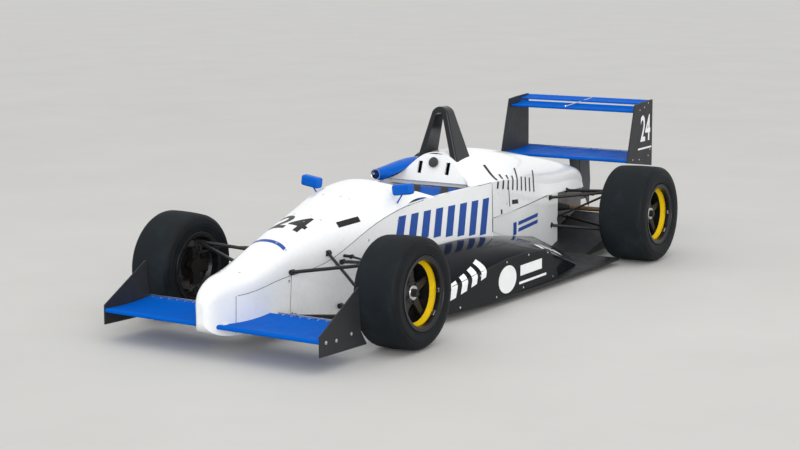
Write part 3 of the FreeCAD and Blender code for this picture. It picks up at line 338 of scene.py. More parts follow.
def sidewall_rubber(colour):
    """Smooth moulded side wall, a little greyed."""
    dark = shade(colour, 0.40)
    made = Finish("sidewall_rubber", dark, 0.6)
    bloom = made.noise(11.0, 6.0, 0.6)
    made.stain(bloom, (0.4, 0.8, 0.0, 0.7), dark, shade(colour, 1.7))
    made.polish(bloom, 0.3, 0.7, 0.5, 0.68)
    return made.bump(made.noise(340.0, 2.0), 0.0004, 0.2)


def metal(name, colour, roughness, wear=0.12, scale=45.0, grain=0.00015):
    """Bare metal with cloudy polish and fine scratches."""
    made = Finish(name, colour, roughness, Metallic=1.0)
    cloud = made.noise(scale, 6.0, 0.65)
    made.stain(cloud, (0.4, 0.8, 0.0, 0.8), colour, shade(colour, 0.6))
    made.polish(cloud, 0.25, 0.75, max(roughness - wear, 0.05), roughness + wear)
    return made.bump(made.noise(scale * 7, 2.0), grain, 0.3)


def cast_metal():
    """Sand-cast gear case, grey and oily in the hollows."""
    made = Finish("cast_metal", (0.16, 0.155, 0.145), 0.55, Metallic=0.8)
    oil = made.noise(6.0, 7.0, 0.6)
    made.stain(oil, (0.4, 0.7), (0.17, 0.165, 0.155), (0.07, 0.064, 0.055))
    made.polish(oil, 0.3, 0.7, 0.62, 0.4)
    return made.bump(made.noise(420.0, 3.0, 0.7), 0.0008, 0.5)


def radiator_core():
    """Fine upright fins in bright metal, with painted shade in the dark bands between them."""
    made = Finish("radiator_core", (0.05, 0.05, 0.05), 0.5, Metallic=0.7)
    fins_and_gap_shade = made.wave("X", 90.0, 0.3)
    # The dark colour is painted shade in the gaps between the fins; the pale colour is the fins' own metal.
    made.set("Base Color", made.mix(fins_and_gap_shade, (0.015, 0.015, 0.015), (0.30, 0.29, 0.28)))
    return made.bump(fins_and_gap_shade, 0.002, 0.8)


def cloth(name, colour, scale, sheen=0.3):
    """Woven cloth: two crossed sets of threads."""
    made = Finish(name, colour, 0.85, Sheen_Weight=sheen)
    weave = made.math("MAXIMUM", made.wave("X", scale, 0.6), made.wave("Z", scale, 0.6))
    fade = made.between(made.noise(13.0, 5.0, 0.6), 0.4, 0.8, 0.0, 0.6)
    worn = made.mix(fade, colour, shade(colour, 1.5, 0.01))
    made.stain(weave, (0.3, 1.0, 0.35, 0.0), worn, shade(colour, 0.5))
    return made.bump(weave, 0.0005, 0.6)


def mix_finishes(paint):
    """Every shared finish of the car."""
    black = tuple(paint.black)
    charcoal = tuple(paint.charcoal)
    FINISHES.update({
        "white": white_paint(tuple(paint.white)),
        "blue": blue_paint("blue_paint", tuple(paint.blue), 0.24).dull(0.14),
        "wing": blue_paint("wing_paint", tuple(paint.blue), 0.46).dull(0.03),
        "black": black_gloss(black).dull(0.30),
        "pod": pod_paint(black).dull(0.03),
        "charcoal": charcoal_plate(charcoal).dull(0.30),
        "matte": worn_matte("matte_panel", DULL_PANEL, 0.62).dull(0.25),
        "floor": worn_matte("floor_board", (0.012, 0.013, 0.014), 0.5).dull(0.25),
        "pylon": worn_matte("pylon_grey", (0.060, 0.066, 0.074), 0.5).dull(0.30),
        "vinyl": worn_matte("white_vinyl", (0.78, 0.79, 0.79), 0.42),
        "mark_blue": worn_matte("mark_blue", (0.008, 0.060, 0.30), 0.36).dull(0.30),
        "mark_black": worn_matte("mark_black", (0.008, 0.008, 0.009), 0.36).dull(0.25),
        "seam": worn_matte("seam_shadow", (0.045, 0.047, 0.050), 0.8).dull(0.10),
        "steel": black_steel().dull(0.30),
        "wheel_black": worn_matte("wheel_black", (0.007, 0.007, 0.008), 0.30).dull(0.28),
        "yellow": worn_matte("rim_yellow", tuple(paint.yellow), 0.40).dull(0.05),
        "spoke": worn_matte("spoke_dark", (0.011, 0.011, 0.012), 0.42).dull(0.30),
        "nut": metal("nut_alloy", (0.62, 0.62, 0.63), 0.3),
        "alloy": metal("bright_alloy", (0.66, 0.66, 0.67), 0.32),
        "iron": metal("disc_iron", (0.25, 0.235, 0.22), 0.42, 0.1, 30.0),
        "bronze": metal("shaft_bronze", (0.17, 0.105, 0.06), 0.5, 0.12, 25.0),
        "mirror": metal("mirror_silver", (0.86, 0.87, 0.88), 0.06, 0.03, 3.0, 0.00001),
        "cast": cast_metal(),
        "upright": metal("upright_steel", (0.045, 0.042, 0.040), 0.5, 0.12, 22.0),
        "core": radiator_core(),
        "boot": worn_matte("boot_rubber", (0.012, 0.012, 0.012), 0.66).dull(0.2),
        "suede": cloth("grip_suede", (0.018, 0.018, 0.019), 420.0, 0.5),
        "webbing": cloth("belt_webbing", (0.030, 0.031, 0.034), 300.0),
        "pad_cloth": cloth("pad_cloth", (0.022, 0.022, 0.024), 260.0),
        "seat_cloth": cloth("seat_cloth", tuple(paint.blue), 200.0),
        "tread": tread_rubber(tuple(paint.rubber)).dull(0.16),
        "sidewall": sidewall_rubber(tuple(paint.rubber)).dull(0.16),
    })


def worn_matte(name, colour, roughness):
    """Flat paint or plastic with rubbed, dusty patches."""
    made = Finish(name, colour, roughness)
    rub = made.noise(17.0, 8.0, 0.68)
    made.stain(rub, (0.45, 0.8, 0.0, 0.7), colour, shade(colour, 1.25, 0.012, 0.9))
    made.polish(rub, 0.3, 0.75, roughness - 0.08, roughness + 0.12)
    return made.bump(made.noise(140.0, 3.0, 0.6), 0.0003, 0.2)


FINISHES = {}


def add_object(name, data):
    """New object in the scene."""
    made = bpy.data.objects.new(name, data)
    bpy.context.collection.objects.link(made)
    return made


def baked(item):
    """Mesh of an object with its modifiers or its letters worked out."""
    bpy.context.view_layer.update()
    return bpy.data.meshes.new_from_object(item.evaluated_get(bpy.context.evaluated_depsgraph_get()))


# ---------------------------------------------------------------- mesh making
def facing(place, direction, axis="X", up="Z"):
    """Stands a form at a place with one of its own axes along a direction."""
    return Matrix.Translation(place) @ direction.to_track_quat(axis, up).to_matrix().to_4x4()


class Part:
    """A mesh being shaped with bmesh operators, that ends as one piece of the car."""

    def __init__(self):
        self.mesh = bmesh.new()

    def place(self, verts, matrix):
        """Move vertices, where there is a matrix."""
        if matrix is not None:
            bmesh.ops.transform(self.mesh, matrix=matrix, verts=verts)

    def added(self, before):
        """Vertices made since that set of them was taken."""
        return [vert for vert in self.mesh.verts if vert not in before]

    def faces_of(self, verts):
        """Faces all of whose corners are among those vertices."""
        chosen = set(verts)
        near = {face for vert in chosen for face in vert.link_faces}
        return [face for face in near if all(vert in chosen for vert in face.verts)]

    def tint(self, verts, index):
        """Give the faces of those vertices one material slot."""
        for face in self.faces_of(verts):
            face.material_index = index

    def round_edges(self, verts, width, segments=2, angle=30.0):
        """Round every edge of a new form that is sharper than an angle."""
        chosen = set(verts)
        edges = {edge for vert in chosen for edge in vert.link_edges
                 if len(edge.link_faces) == 2 and edge.calc_face_angle(0.0) > math.radians(angle)}
        made = bmesh.ops.bevel(self.mesh, geom=list(edges), offset=width, segments=segments, affect="EDGES",
                               profile=0.5, material=-1)
        return [vert for vert in chosen if vert.is_valid] + made["verts"]

    def block(self, low, high, bevel=0.0, segments=2, slot=0, matrix=None):
        """Box between two corners with rounded edges."""
        low, high = Vector(low), Vector(high)
        verts = bmesh.ops.create_cube(self.mesh, size=1.0)["verts"]
        span = high - low
        self.place(verts, Matrix.Translation((low + high) / 2) @ Matrix.Diagonal((*span, 1.0)))
        if bevel:
            verts = self.round_edges(verts, bevel, segments)
        self.place(verts, matrix)
        self.tint(verts, slot)
        return verts

    def lathe(self, profile, matrix=None, steps=48, slots=0):
        """Form turned about X from (x, radius) points; one slot, or a function of x and radius."""
        verts = [self.mesh.verts.new((x, 0.0, max(radius, 0.0))) for x, radius in profile]
        edges = [self.mesh.edges.new(pair) for pair in zip(verts, verts[1:])]
        if profile[0] == profile[-1]:
            bmesh.ops.remove_doubles(self.mesh, verts=verts, dist=1e-7)
            verts = [vert for vert in verts if vert.is_valid]
            edges = list({edge for vert in verts for edge in vert.link_edges})
        before = set(self.mesh.faces)
        bmesh.ops.spin(self.mesh, geom=verts + edges, cent=(0, 0, 0), axis=(1, 0, 0), angle=FULL_TURN,
                       steps=steps, use_merge=True)
        faces = [face for face in self.mesh.faces if face not in before]
        made = list({vert for face in faces for vert in face.verts})
        bmesh.ops.remove_doubles(self.mesh, verts=made, dist=1e-6)
        faces = [face for face in faces if face.is_valid]
        bmesh.ops.recalc_face_normals(self.mesh, faces=faces)
        for face in faces:
            x, y, z = face.calc_center_median()
            face.material_index = slots(x, math.hypot(y, z)) if callable(slots) else slots
        made = list({vert for face in faces for vert in face.verts})
        self.place(made, matrix)
        return made

    def bar(self, start, end, radius, steps=12, bevel=0.0, slot=0):
        """Round bar between two points."""
        start, end = Vector(start), Vector(end)
        line = end - start
        verts = bmesh.ops.create_cone(self.mesh, cap_ends=True, segments=steps, radius1=radius,
                                      radius2=radius, depth=line.length)["verts"]
        self.place(verts, facing((start + end) / 2, line, "Z", "Y"))
        if bevel:
            verts = self.round_edges(verts, bevel, 2, 40.0)
        self.tint(verts, slot)
        return verts

    def bolt(self, place, direction, radius=0.006, height=0.004, slot=0, washer=True):
        """Hexagon head on a washer, standing on a surface."""
        place, direction = Vector(place), Vector(direction).normalized()
        if washer:
            self.bar(place - direction * 0.001, place + direction * 0.0012, radius * 1.55, 16, 0.0004, slot)
        self.bar(place, place + direction * height, radius, 6, 0.0008, slot)

    def stud(self, place, direction, radius):
        """Flush quarter-turn fastener: a dished disc with a slot."""
        matrix = facing(place, direction)
        profile = [(-0.002, radius), (0.0009, radius), (0.0012, radius * 0.86), (0.0004, radius * 0.72),
                   (0.0006, 0.0)]
        self.lathe(profile, matrix, 16)
        self.block((0.0003, -radius * 0.6, -radius * 0.1), (0.0013, radius * 0.6, radius * 0.1),
                   matrix=matrix)

    def hoop(self, points, radius, steps):
        """Round tube through a closed run of points."""
        rings = []
        for before, point, after in zip(points[-1:] + points, points, points[1:] + points[:1]):
            ring = bmesh.ops.create_circle(self.mesh, segments=steps, radius=radius)["verts"]
            self.place(ring, facing(point, after - before, "Z", "Y"))
            rings.append(ring)
        for pair in zip(rings, rings[1:] + rings[:1]):
            loops = [edge for ring in pair for edge in {e for v in ring for e in v.link_edges}
                     if edge.verts[0] in ring and edge.verts[1] in ring]
            bmesh.ops.bridge_loops(self.mesh, edges=loops)
        return [vert for ring in rings for vert in ring]

    def plate(self, outline, depth, bevel=0.0, slot=0, matrix=None):
        """Flat plate from (x, y) points, thickened along Z."""
        verts = [self.mesh.verts.new((x, y, 0.0)) for x, y in outline]
        face = self.mesh.faces.new(verts)
        made = bmesh.ops.extrude_face_region(self.mesh, geom=[face])["geom"]
        top = [item for item in made if isinstance(item, bmesh.types.BMVert)]
        bmesh.ops.translate(self.mesh, vec=(0, 0, depth), verts=top)
        verts = verts + top
        bmesh.ops.recalc_face_normals(self.mesh, faces=self.faces_of(verts))
        if bevel:
            verts = self.round_edges(verts, bevel, 2)
        self.place(verts, matrix)
        self.tint(verts, slot)
        return verts

    def mirrored(self, verts=None):
        """Copy of the form on the car's other side."""
        verts = verts or list(self.mesh.verts)
        edges = list({edge for vert in verts for edge in vert.link_edges})
        made = bmesh.ops.duplicate(self.mesh, geom=list(verts) + edges + self.faces_of(verts))["geom"]
        twins = [item for item in made if isinstance(item, bmesh.types.BMVert)]
        faces = [item for item in made if isinstance(item, bmesh.types.BMFace)]
        self.place(twins, Matrix.Diagonal((-1, 1, 1, 1)))
        bmesh.ops.reverse_faces(self.mesh, faces=faces)

    def done(self, name, finishes, body="chassis", slot=None, sharp=32.0):
        """Finished piece: shared finishes, smooth shading with crisp edges and its body; the slot argument is
        not used.
        """
        for face in self.mesh.faces:
            face.smooth = True
        for edge in self.mesh.edges:
            edge.smooth = len(edge.link_faces) == 2 and edge.calc_face_angle(0.0) < math.radians(sharp)
        data = bpy.data.meshes.new(name)
        self.mesh.to_mesh(data)
        self.mesh.free()
        for finish in (finishes,) if isinstance(finishes, str) else finishes:
            data.materials.append(FINISHES[finish].material)
        piece = add_object(name, data)
        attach(piece, body)
        return piece


SKIN = ("nose_cone", "nose_box", "monocoque", "engine_cover", "side_panels", "sidepod_left", "rear_endplates")


def skin(origin, direction, nodes=SKIN):
    """First CAD surface that a ray meets: node, point and normal."""
    found = []
    for node in nodes:
        hit, place, normal, _ = NODES[node].ray_cast(Vector(origin), Vector(direction))
        if hit:
            found.append(((place - Vector(origin)).length, node, place, normal))
    return min(found, key=lambda item: item[0])[1:] if found else None


def lay(part, verts, side=True, pitch=0.011):
    """Flat shape drawn in (x, y), cut fine and laid on the body: from the left side, or from above."""
    faces = part.faces_of(verts)
    low = [min(vert.co[axis] for vert in verts) for axis in (0, 1)]
    high = [max(vert.co[axis] for vert in verts) for axis in (0, 1)]
    geom = set(verts) | {edge for face in faces for edge in face.edges} | set(faces)
    for axis in (0, 1):
        normal = [float(axis == other) for other in range(3)]
        place = low[axis] + pitch
        while place < high[axis] - THIN_STRIP:
            cut = bmesh.ops.bisect_plane(part.mesh, geom=list(geom), plane_co=[place * n for n in normal],
                                         plane_no=normal, dist=1e-6)
            geom = set(cut["geom"])
            place += pitch
    for vert in [item for item in geom if isinstance(item, bmesh.types.BMVert)]:
        across, along = vert.co.x, vert.co.y
        for step in GAP_STEPS:
            if side:
                met = skin((OUTSIDE, across, along + step), (-1, 0, 0))
            else:
                met = skin((across, along + step, ABOVE), (0, 0, -1))
            if met:
                break
        if met is None:
            raise RuntimeError("a mark runs off the body at %.3f %.3f" % (across, along))
        vert.co = met[1] + met[2] * MARK_LIFT
        vert.co[2 if side else 1] -= step


def mark(part, outline, side=True, pitch=0.012):
    """Flat mark with straight sides, laid on the body."""
    verts = [part.mesh.verts.new((x, y, 0.0)) for x, y in outline]
    part.mesh.faces.new(verts)
    lay(part, verts, side, pitch)


def slat(part, start, end, low, high, lean=0.0, side=True):
    """Upright mark between two places, whose top is moved along by the lean."""
    mark(part, [(start, low), (end, low), (end + lean, high), (start + lean, high)], side)


def lettering(name, text, size, offset, extrude=0.0):
    """Mesh of plain letters round the origin."""
    letters = bpy.data.curves.new(name, "FONT")
    letters.body = text
    letters.size = size
    letters.offset = offset
    letters.extrude = extrude
    letters.align_x = "CENTER"
    letters.align_y = "CENTER"
    holder = add_object(name, letters)
    mesh = baked(holder)
    bpy.data.objects.remove(holder)
    return mesh


def edge_on(x):
    """Stands a plate drawn in (x, y) up in (y, z), thickened along X from a place."""
    return Matrix(((0, 0, 1, x), (1, 0, 0, 0), (0, 1, 0, 0), (0, 0, 0, 1)))


def ribbon(part, points, width=0.0026):
    """Narrow line along points on the body's side."""
    for (x0, y0), (x1, y1) in zip(points, points[1:]):
        along = Vector((x1 - x0, y1 - y0)).normalized() * (width / 2)
        mark(part, [(x0 + along.y, y0 - along.x), (x1 + along.y, y1 - along.x), (x1 - along.y, y1 + along.x),
                    (x0 - along.y, y0 + along.x)], pitch=0.03)


def joint_height(y, upper, lower, low, high):
    """Height at which one body piece gives way to another, seen from the side."""
    for _ in range(12):
        half = (low + high) / 2
        met = skin((OUTSIDE, y, half), (-1, 0, 0), (upper, lower))
        if met and met[0] == lower:
            low = half
        else:
            high = half
    return (low + high) / 2


def middle(node):
    """Centre of a CAD node's box."""
    low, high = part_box(node)
    return (low + high) / 2


def round_about(x, radius, share):
    """Point on a circle round the X axis, at a share of the full turn."""
    return Vector((x, radius * math.cos(FULL_TURN * share), radius * math.sin(FULL_TURN * share)))


def fasten(part, origin, direction, radius, nodes):
    """Flush fastener where a ray meets the body, if it does."""
    met = skin(origin, direction, nodes)
    if met:
        part.stud(met[1], met[2], radius)


class STAGE_OT_build(bpy.types.Operator):
    """Floor, soft studio light and camera"""

    bl_idname = "racecar.stage"
    bl_label = "Stage"

    def execute(self, context):
        stage = context.scene.racecar_stage
        self.floor()
        self.world(context, stage.sky)
        self.lamp("overhead", "AREA", (1.2, -1.5, 5.5), (0, 0, 0.3), stage.lamp, size=6.0)
        self.lamp("fill", "SUN", (5.2, -5.8, 1.9), (0, 0, 0), stage.fill, angle=math.radians(40))
        self.camera(context, stage)
        context.scene.view_settings.view_transform = "Standard"
        return {"FINISHED"}

    def floor(self):
        """Wide pale ground, a little rough."""
        mesh = bpy.data.meshes.new("floor_ground")
        ground = bmesh.new()
        bmesh.ops.create_grid(ground, x_segments=1, y_segments=1, size=GROUND_SIZE)
        ground.to_mesh(mesh)
        ground.free()
        floor = add_object("floor_ground", mesh)
        made = Finish("pale_ground", (0.55, 0.545, 0.53), 0.75)
        cloud = made.noise(0.8, 8.0, 0.65)
        made.set("Base Color", made.mix(cloud, (0.51, 0.505, 0.49), (0.60, 0.595, 0.58)))
        mesh.materials.append(made.material)

    def world(self, context, strength):
        """Even sky, white where the camera, mirrors and glass see it."""
        world = bpy.data.worlds.new("studio")
        context.scene.world = world
        world.use_nodes = True
        nodes = world.node_tree.nodes
        links = world.node_tree.links
        rays = nodes.new("ShaderNodeLightPath").outputs
        seen = rays["Is Camera Ray"]
        for ray in ("Is Transmission Ray", "Is Glossy Ray"):
            either = nodes.new("ShaderNodeMath")
            either.operation = "MAXIMUM"
            links.new(seen, either.inputs[0])
            links.new(rays[ray], either.inputs[1])
            seen = either.outputs[0]
        level = nodes.new("ShaderNodeMapRange")
        links.new(seen, level.inputs["Value"])
        level.inputs["To Min"].default_value = strength
        level.inputs["To Max"].default_value = 1.0
        background = nodes["Background"].inputs
        links.new(level.outputs[0], background["Strength"])
        background["Color"].default_value = (1.0, 1.0, 1.0, 1.0)

    def lamp(self, name, kind, place, aim, energy, **settings):
        """Large overhead lamp or very soft low sun, looking from a place towards an aim."""
        data = bpy.data.lights.new(name, kind)
        data.energy = energy
        for key, value in settings.items():
            setattr(data, key, value)
        lamp = add_object(name, data)
        lamp.location = place
        lamp.rotation_euler = (Vector(aim) - Vector(place)).to_track_quat("-Z", "Y").to_euler()

    def camera(self, context, stage):
        """Camera from its heading, pitch and roll."""
        data = bpy.data.cameras.new("camera")
        data.lens = stage.lens
        data.sensor_width = SENSOR_WIDTH
        camera = add_object("camera", data)
        turn = (Matrix.Rotation(stage.heading, 4, "Z") @ Matrix.Rotation(math.pi / 2 + stage.pitch, 4, "X")
                @ Matrix.Rotation(stage.roll, 4, "Z"))
        camera.matrix_world = Matrix.Translation(stage.eye) @ turn
        context.scene.camera = camera


CAD_FINISHES = {
    "white": ("nose_cone", "nose_box", "monocoque", "engine_cover", "side_panels", "headrest_panel"),
    "wing": ("front_wing_left", "front_wing_right", "rear_wing_lower", "rear_wing_upper"),
    "blue": ("mirrors", "air_scoop"),
    "pod": ("sidepod_left", "sidepod_right"),
    "black": ("roll_hoop",),
    "floor": ("floor",),
    "charcoal": ("front_endplates", "rear_endplates", "dash_panel"),
    "pylon": ("wing_pylon",),
    "steel": ("front_suspension_left", "front_suspension_right", "rear_suspension_left",
              "rear_suspension_right", "track_rods"),
    "cast": ("gearbox", "engine_block"),
    "upright": ("front_upright_left", "front_upright_right", "rear_upright_left", "rear_upright_right"),
    "core": ("radiators",),
    "bronze": ("driveshafts",),
}


class BODYWORK_OT_paint(bpy.types.Operator):
    """Finishes on the CAD bodywork"""

    bl_idname = "racecar.bodywork"
    bl_label = "Bodywork paint"

    def execute(self, context):
        mix_finishes(context.scene.racecar_paint)
        for name, nodes in CAD_FINISHES.items():
            paint_all(name, *nodes)
        return {"FINISHED"}


class WHEELS_OT_build(bpy.types.Operator):
    """Slick tyres, dished wheels, centre nuts and brake discs"""

    bl_idname = "racecar.wheels"
    bl_label = "Wheels"

    def execute(self, context):
        wheels = context.scene.racecar_wheels
        for corner in CORNERS:
            front = corner.startswith("front")
            side = 1 if corner.endswith("left") else -1
            camber = wheels.front_camber if front else wheels.rear_camber
            place = (Matrix.Translation(middle("tyre_" + corner)) @ Matrix.Rotation(-side * camber, 4, "Y")
                     @ Matrix.Rotation(0.0 if side > 0 else math.pi, 4, "Z"))
            radius, width, rim = TYRE_SIZES["front" if front else "rear"]
            self.tyre(corner, place, radius, width, rim)
            self.rim(corner, place, rim, wheels.spokes)
        return {"FINISHED"}

    def tyre(self, corner, place, radius, width, rim):
        """Slick with round shoulders, bowed walls and moulded rings."""
        half = width / 2
        foot = rim / 2
        belly = (radius + 0.1653) / 2
        wall = [(foot - depth, height) for depth, height in (
            (0.009, 0.1656), (0.009, 0.1865), (0.0045, 0.1868), (0.002, 0.190))]
        wall += [(half - depth, height) for depth, height in (
            (0.0035, 0.1965), (0.0032, 0.1985), (0.0045, 0.1995), (0.0015, 0.207), (0.0004, belly),
            (0.0004, belly + 0.012), (0.0018, belly + 0.0128))]
        wall += [(half - depth, radius - drop) for depth, drop in (
            (0.0021, 0.034), (0.0045, 0.0235), (0.0055, 0.0225), (0.0075, 0.0175), (0.0125, 0.0120),
            (0.020, 0.0065), (0.030, 0.0033), (0.052, 0.0018))]
        wall += [(half * 0.3, radius - 0.0004), (0.0, radius)]
        far = [(-x, height) for x, height in reversed(wall[:-1])]
        part = Part()
        edge = half - 0.021
        part.lathe(wall + far + [wall[0]], place, 96,
                   lambda x, height: int(abs(x) < edge and height > radius - 0.02))
        piece = part.done("slick_" + corner, ("sidewall", "tread"), "roadwheel_" + corner, "tyre", sharp=60.0)
        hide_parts("tyre_" + corner)

    def rim(self, corner, place, rim, spokes):
        """Barrel with rolled lips and a yellow band, dished spokes, nut and disc."""
        half = rim / 2
        lip, bead, wall, well = 0.1845, 0.165, 0.006, 0.151
        outside = [(half - depth, radius) for depth, radius in (
            (0.0, lip - 0.0015), (0.0015, lip), (0.0065, lip), (0.008, lip - 0.0015), (0.008, bead + 0.003),
            (0.011, bead), (0.040, bead), (0.060, well))]
        far = [(-x, radius) for x, radius in reversed(outside)]
        back = [(-half, bead + 0.001), (0.003 - half, bead - wall), (0.042 - half, bead - wall),
                (0.062 - half, well - wall)]
        front = [(half - depth, radius) for depth, radius in (
            (0.062, well - wall), (0.042, bead - wall), (0.034, bead - wall), (0.012, bead - wall),
            (0.006, bead - 0.003), (0.003, bead + 0.009), (0.0025, lip - 0.006), (0.0, lip - 0.004),
            (0.0, lip - 0.0015))]
        part = Part()
        part.lathe(outside + far + back + front, None, 96,
                   lambda x, radius: int(radius < bead - 0.0045 and half - 0.064 < x < half - 0.034))
        face = half - 0.066
        dish = Matrix.Translation((face, 0, 0))
        part.lathe([(-0.026, 0.021), (-0.026, 0.056), (-0.022, 0.058), (-0.006, 0.058), (-0.001, 0.053),
                    (0.0, 0.044), (0.0, 0.021), (-0.026, 0.021)], dish, 64, 2)
        for index in range(spokes):
            turn = dish @ Matrix.Rotation(FULL_TURN * index / spokes, 4, "X")
            part.plate([(0.040, -0.030), (0.075, -0.021), (0.1455, -0.0165), (0.1455, 0.0165),
                        (0.075, 0.021), (0.040, 0.030)], 0.019, 0.004, 2,
                       turn @ Matrix(((0, 0, 1, -0.023), (0, 1, 0, 0), (1, 0, 0, 0), (0, 0, 0, 1))))
            part.block((-0.008, -0.004, 0.055), (-0.0035, 0.004, 0.140), 0.0018, 2, 2, turn)
            peg = part.bar((-0.002, 0, 0.046), (0.006, 0, 0.046), 0.0055, 14, 0.0012, 2)
            part.place(peg, turn @ Matrix.Rotation(math.pi / spokes, 4, "X"))
        part.lathe([(-0.003, 0.018), (-0.003, 0.036), (0.003, 0.037), (0.006, 0.034), (0.006, 0.018)],
                   dish, 48, 3)
        nut = part.bar((0.004, 0, 0), (0.022, 0, 0), 0.023, 6, 0.0015, 2)
        part.place(nut, dish @ Matrix.Rotation(0.3, 4, "X"))
        part.lathe([(0.020, 0.0), (0.0255, 0.006), (0.0255, 0.0135), (0.020, 0.015)], dish, 32)
        for angle, length in ((0.75, 0.030), (1.5, 0.024), (4.1, 0.034)):
            part.block((half - 0.032, -length / 2, -0.1592), (half - 0.014, length / 2, -0.1550),
                       0.0012, 2, 3, Matrix.Rotation(angle, 4, "X"))
        valve = part.bar((half - 0.036, 0, 0.158), (half - 0.014, 0, 0.150), 0.0032, 10, 0.0008, 3)
        part.place(valve, Matrix.Rotation(1.7, 4, "X"))
        self.add_disc(part, face)
        part.place(list(part.mesh.verts), place)
        piece = part.done("wheel_trim_" + corner, ("wheel_black", "yellow", "spoke", "nut", "iron"),
                          "roadwheel_" + corner, "wheel_metal")
        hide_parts("wheel_" + corner)

    def add_disc(self, part, face):
        """Brake disc with a grooved edge, on its bell."""
        disc = -0.052
        part.lathe([(disc + x, radius) for x, radius in (
            (0.0, 0.0705), (0.0, 0.1295), (0.0045, 0.130), (0.0048, 0.126), (0.0092, 0.126), (0.0095, 0.130),
            (0.014, 0.1295), (0.014, 0.0705), (0.0, 0.0705))], None, 72, 4)
        part.lathe([(disc, 0.064), (disc, 0.072), (face - 0.027, 0.072), (face - 0.027, 0.0205),
                    (disc + 0.018, 0.0205), (disc + 0.018, 0.064), (disc, 0.064)], None, 48, 2)


class WINGS_OT_trim(bpy.types.Operator):
    """Trailing angles, wing caps, plate bolts, centre stay and the rear number"""

    bl_idname = "racecar.wings"
    bl_label = "Wing trim"

    def execute(self, context):
        self.front()
        self.rear()
        self.number(context.scene.racecar_trim.number)
        return {"FINISHED"}

    def front(self):
        """Silver trailing strip, root caps and endplate bolts."""
        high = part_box("front_wing_left")[1]
        top = high.z
        rear = high.y
        part = Part()
        part.block((0.172, rear - 0.0042, top - 0.0085), (0.643, rear - 0.0030, top + 0.0002), 0.0003, 1)
        part.block((0.172, rear - 0.0030, top), (0.643, rear, top + 0.0006), 0.0002, 1)
        for index in range(9):
            part.bolt((0.20 + index * 0.052, rear - 0.010, top - 0.0095), (0, 0, 1), 0.0026, 0.0014)
        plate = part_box("front_endplates")[1].x
        for y, z in ((-0.597, 0.144), (-0.514, 0.137), (-0.389, 0.144)):
            part.bolt((plate, FRONT_AXLE + y, z), (1, 0, 0), 0.0060, 0.004)
        part.mirrored()
        part.done("front_wing_fixings", "alloy", slot="black_steel")
        caps = Part()
        root = Matrix.Translation((0.074, FRONT_AXLE - 0.640, 0.150))
        caps.lathe([(0.0, 0.0), (-0.003, 0.007), (-0.009, 0.0105), (-0.022, 0.0125), (-0.050, 0.0120),
                    (-0.070, 0.006), (-0.074, 0.0)], root @ Matrix.Rotation(math.pi * 1.5, 4, "Z"), 28)
        caps.mirrored()
        caps.done("front_wing_caps", "white", slot="white_paint")

    def rear(self):
        """Angles along both planes, a centre stay and plate bolts."""
        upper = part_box("rear_wing_upper")[1].z
        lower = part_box("rear_wing_lower")[1].z
        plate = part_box("rear_endplates")[1]
        tail = plate.y
        part = Part()
        for ahead, behind, low, high in ((0.0115, 0.0102, upper - 0.0125, upper - 0.0002),
                                         (0.024, 0.0105, upper - 0.0075, upper - 0.0062),
                                         (0.0085, 0.0072, lower - 0.003, lower + 0.009)):
            part.block((-0.452, tail - ahead, low), (0.452, tail - behind, high), 0.0004, 1)
        stay = tail - 0.240
        part.bar((-0.055, stay, upper - 0.048), (0.030, tail - 0.020, upper - 0.004), 0.0038, 10, 0.0008)
        part.bar((-0.055, stay, upper - 0.056), (-0.055, stay, upper - 0.040), 0.006, 12, 0.001)
        before = set(part.mesh.verts)
        for ahead, z in ((0.205, 0.862), (0.135, 0.874), (0.075, 0.898), (0.035, 0.590), (0.30, 0.548),
                         (0.20, 0.540), (0.06, 0.552)):
            part.bolt((plate.x, tail - ahead, z), (1, 0, 0), 0.0036, 0.003)
        part.mirrored(part.added(before))
        part.done("rear_wing_fixings", "alloy", slot="black_steel")

    def number(self, text):
        """Plain racing number on both rear plates, with a bar under it."""
        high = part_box("rear_endplates")[1]
        mesh = lettering("plate_number", text, 0.235, 0.004, 0.0002)
        part = Part()
        for side in (1, -1):
            before = set(part.mesh.verts)
            part.mesh.from_mesh(mesh)
            turn = Matrix.Rotation(side * math.pi / 2, 4, "Z") @ Matrix.Rotation(math.pi / 2, 4, "X")
            plate = Matrix.Translation((side * (high.x + 0.0004), high.y - 0.112, 0.728))
            part.place(part.added(before), plate @ turn @ Matrix.Diagonal((0.66, 1.0, 1.0, 1.0)))
        bpy.data.meshes.remove(mesh)
        for side in (1, -1):
            part.block((side * high.x - 0.0002 * side, high.y - 0.222, 0.602),
                       (side * high.x + 0.0004 * side, high.y - 0.012, 0.613))
        part.done("plate_numbers", "vinyl", slot="white_paint")


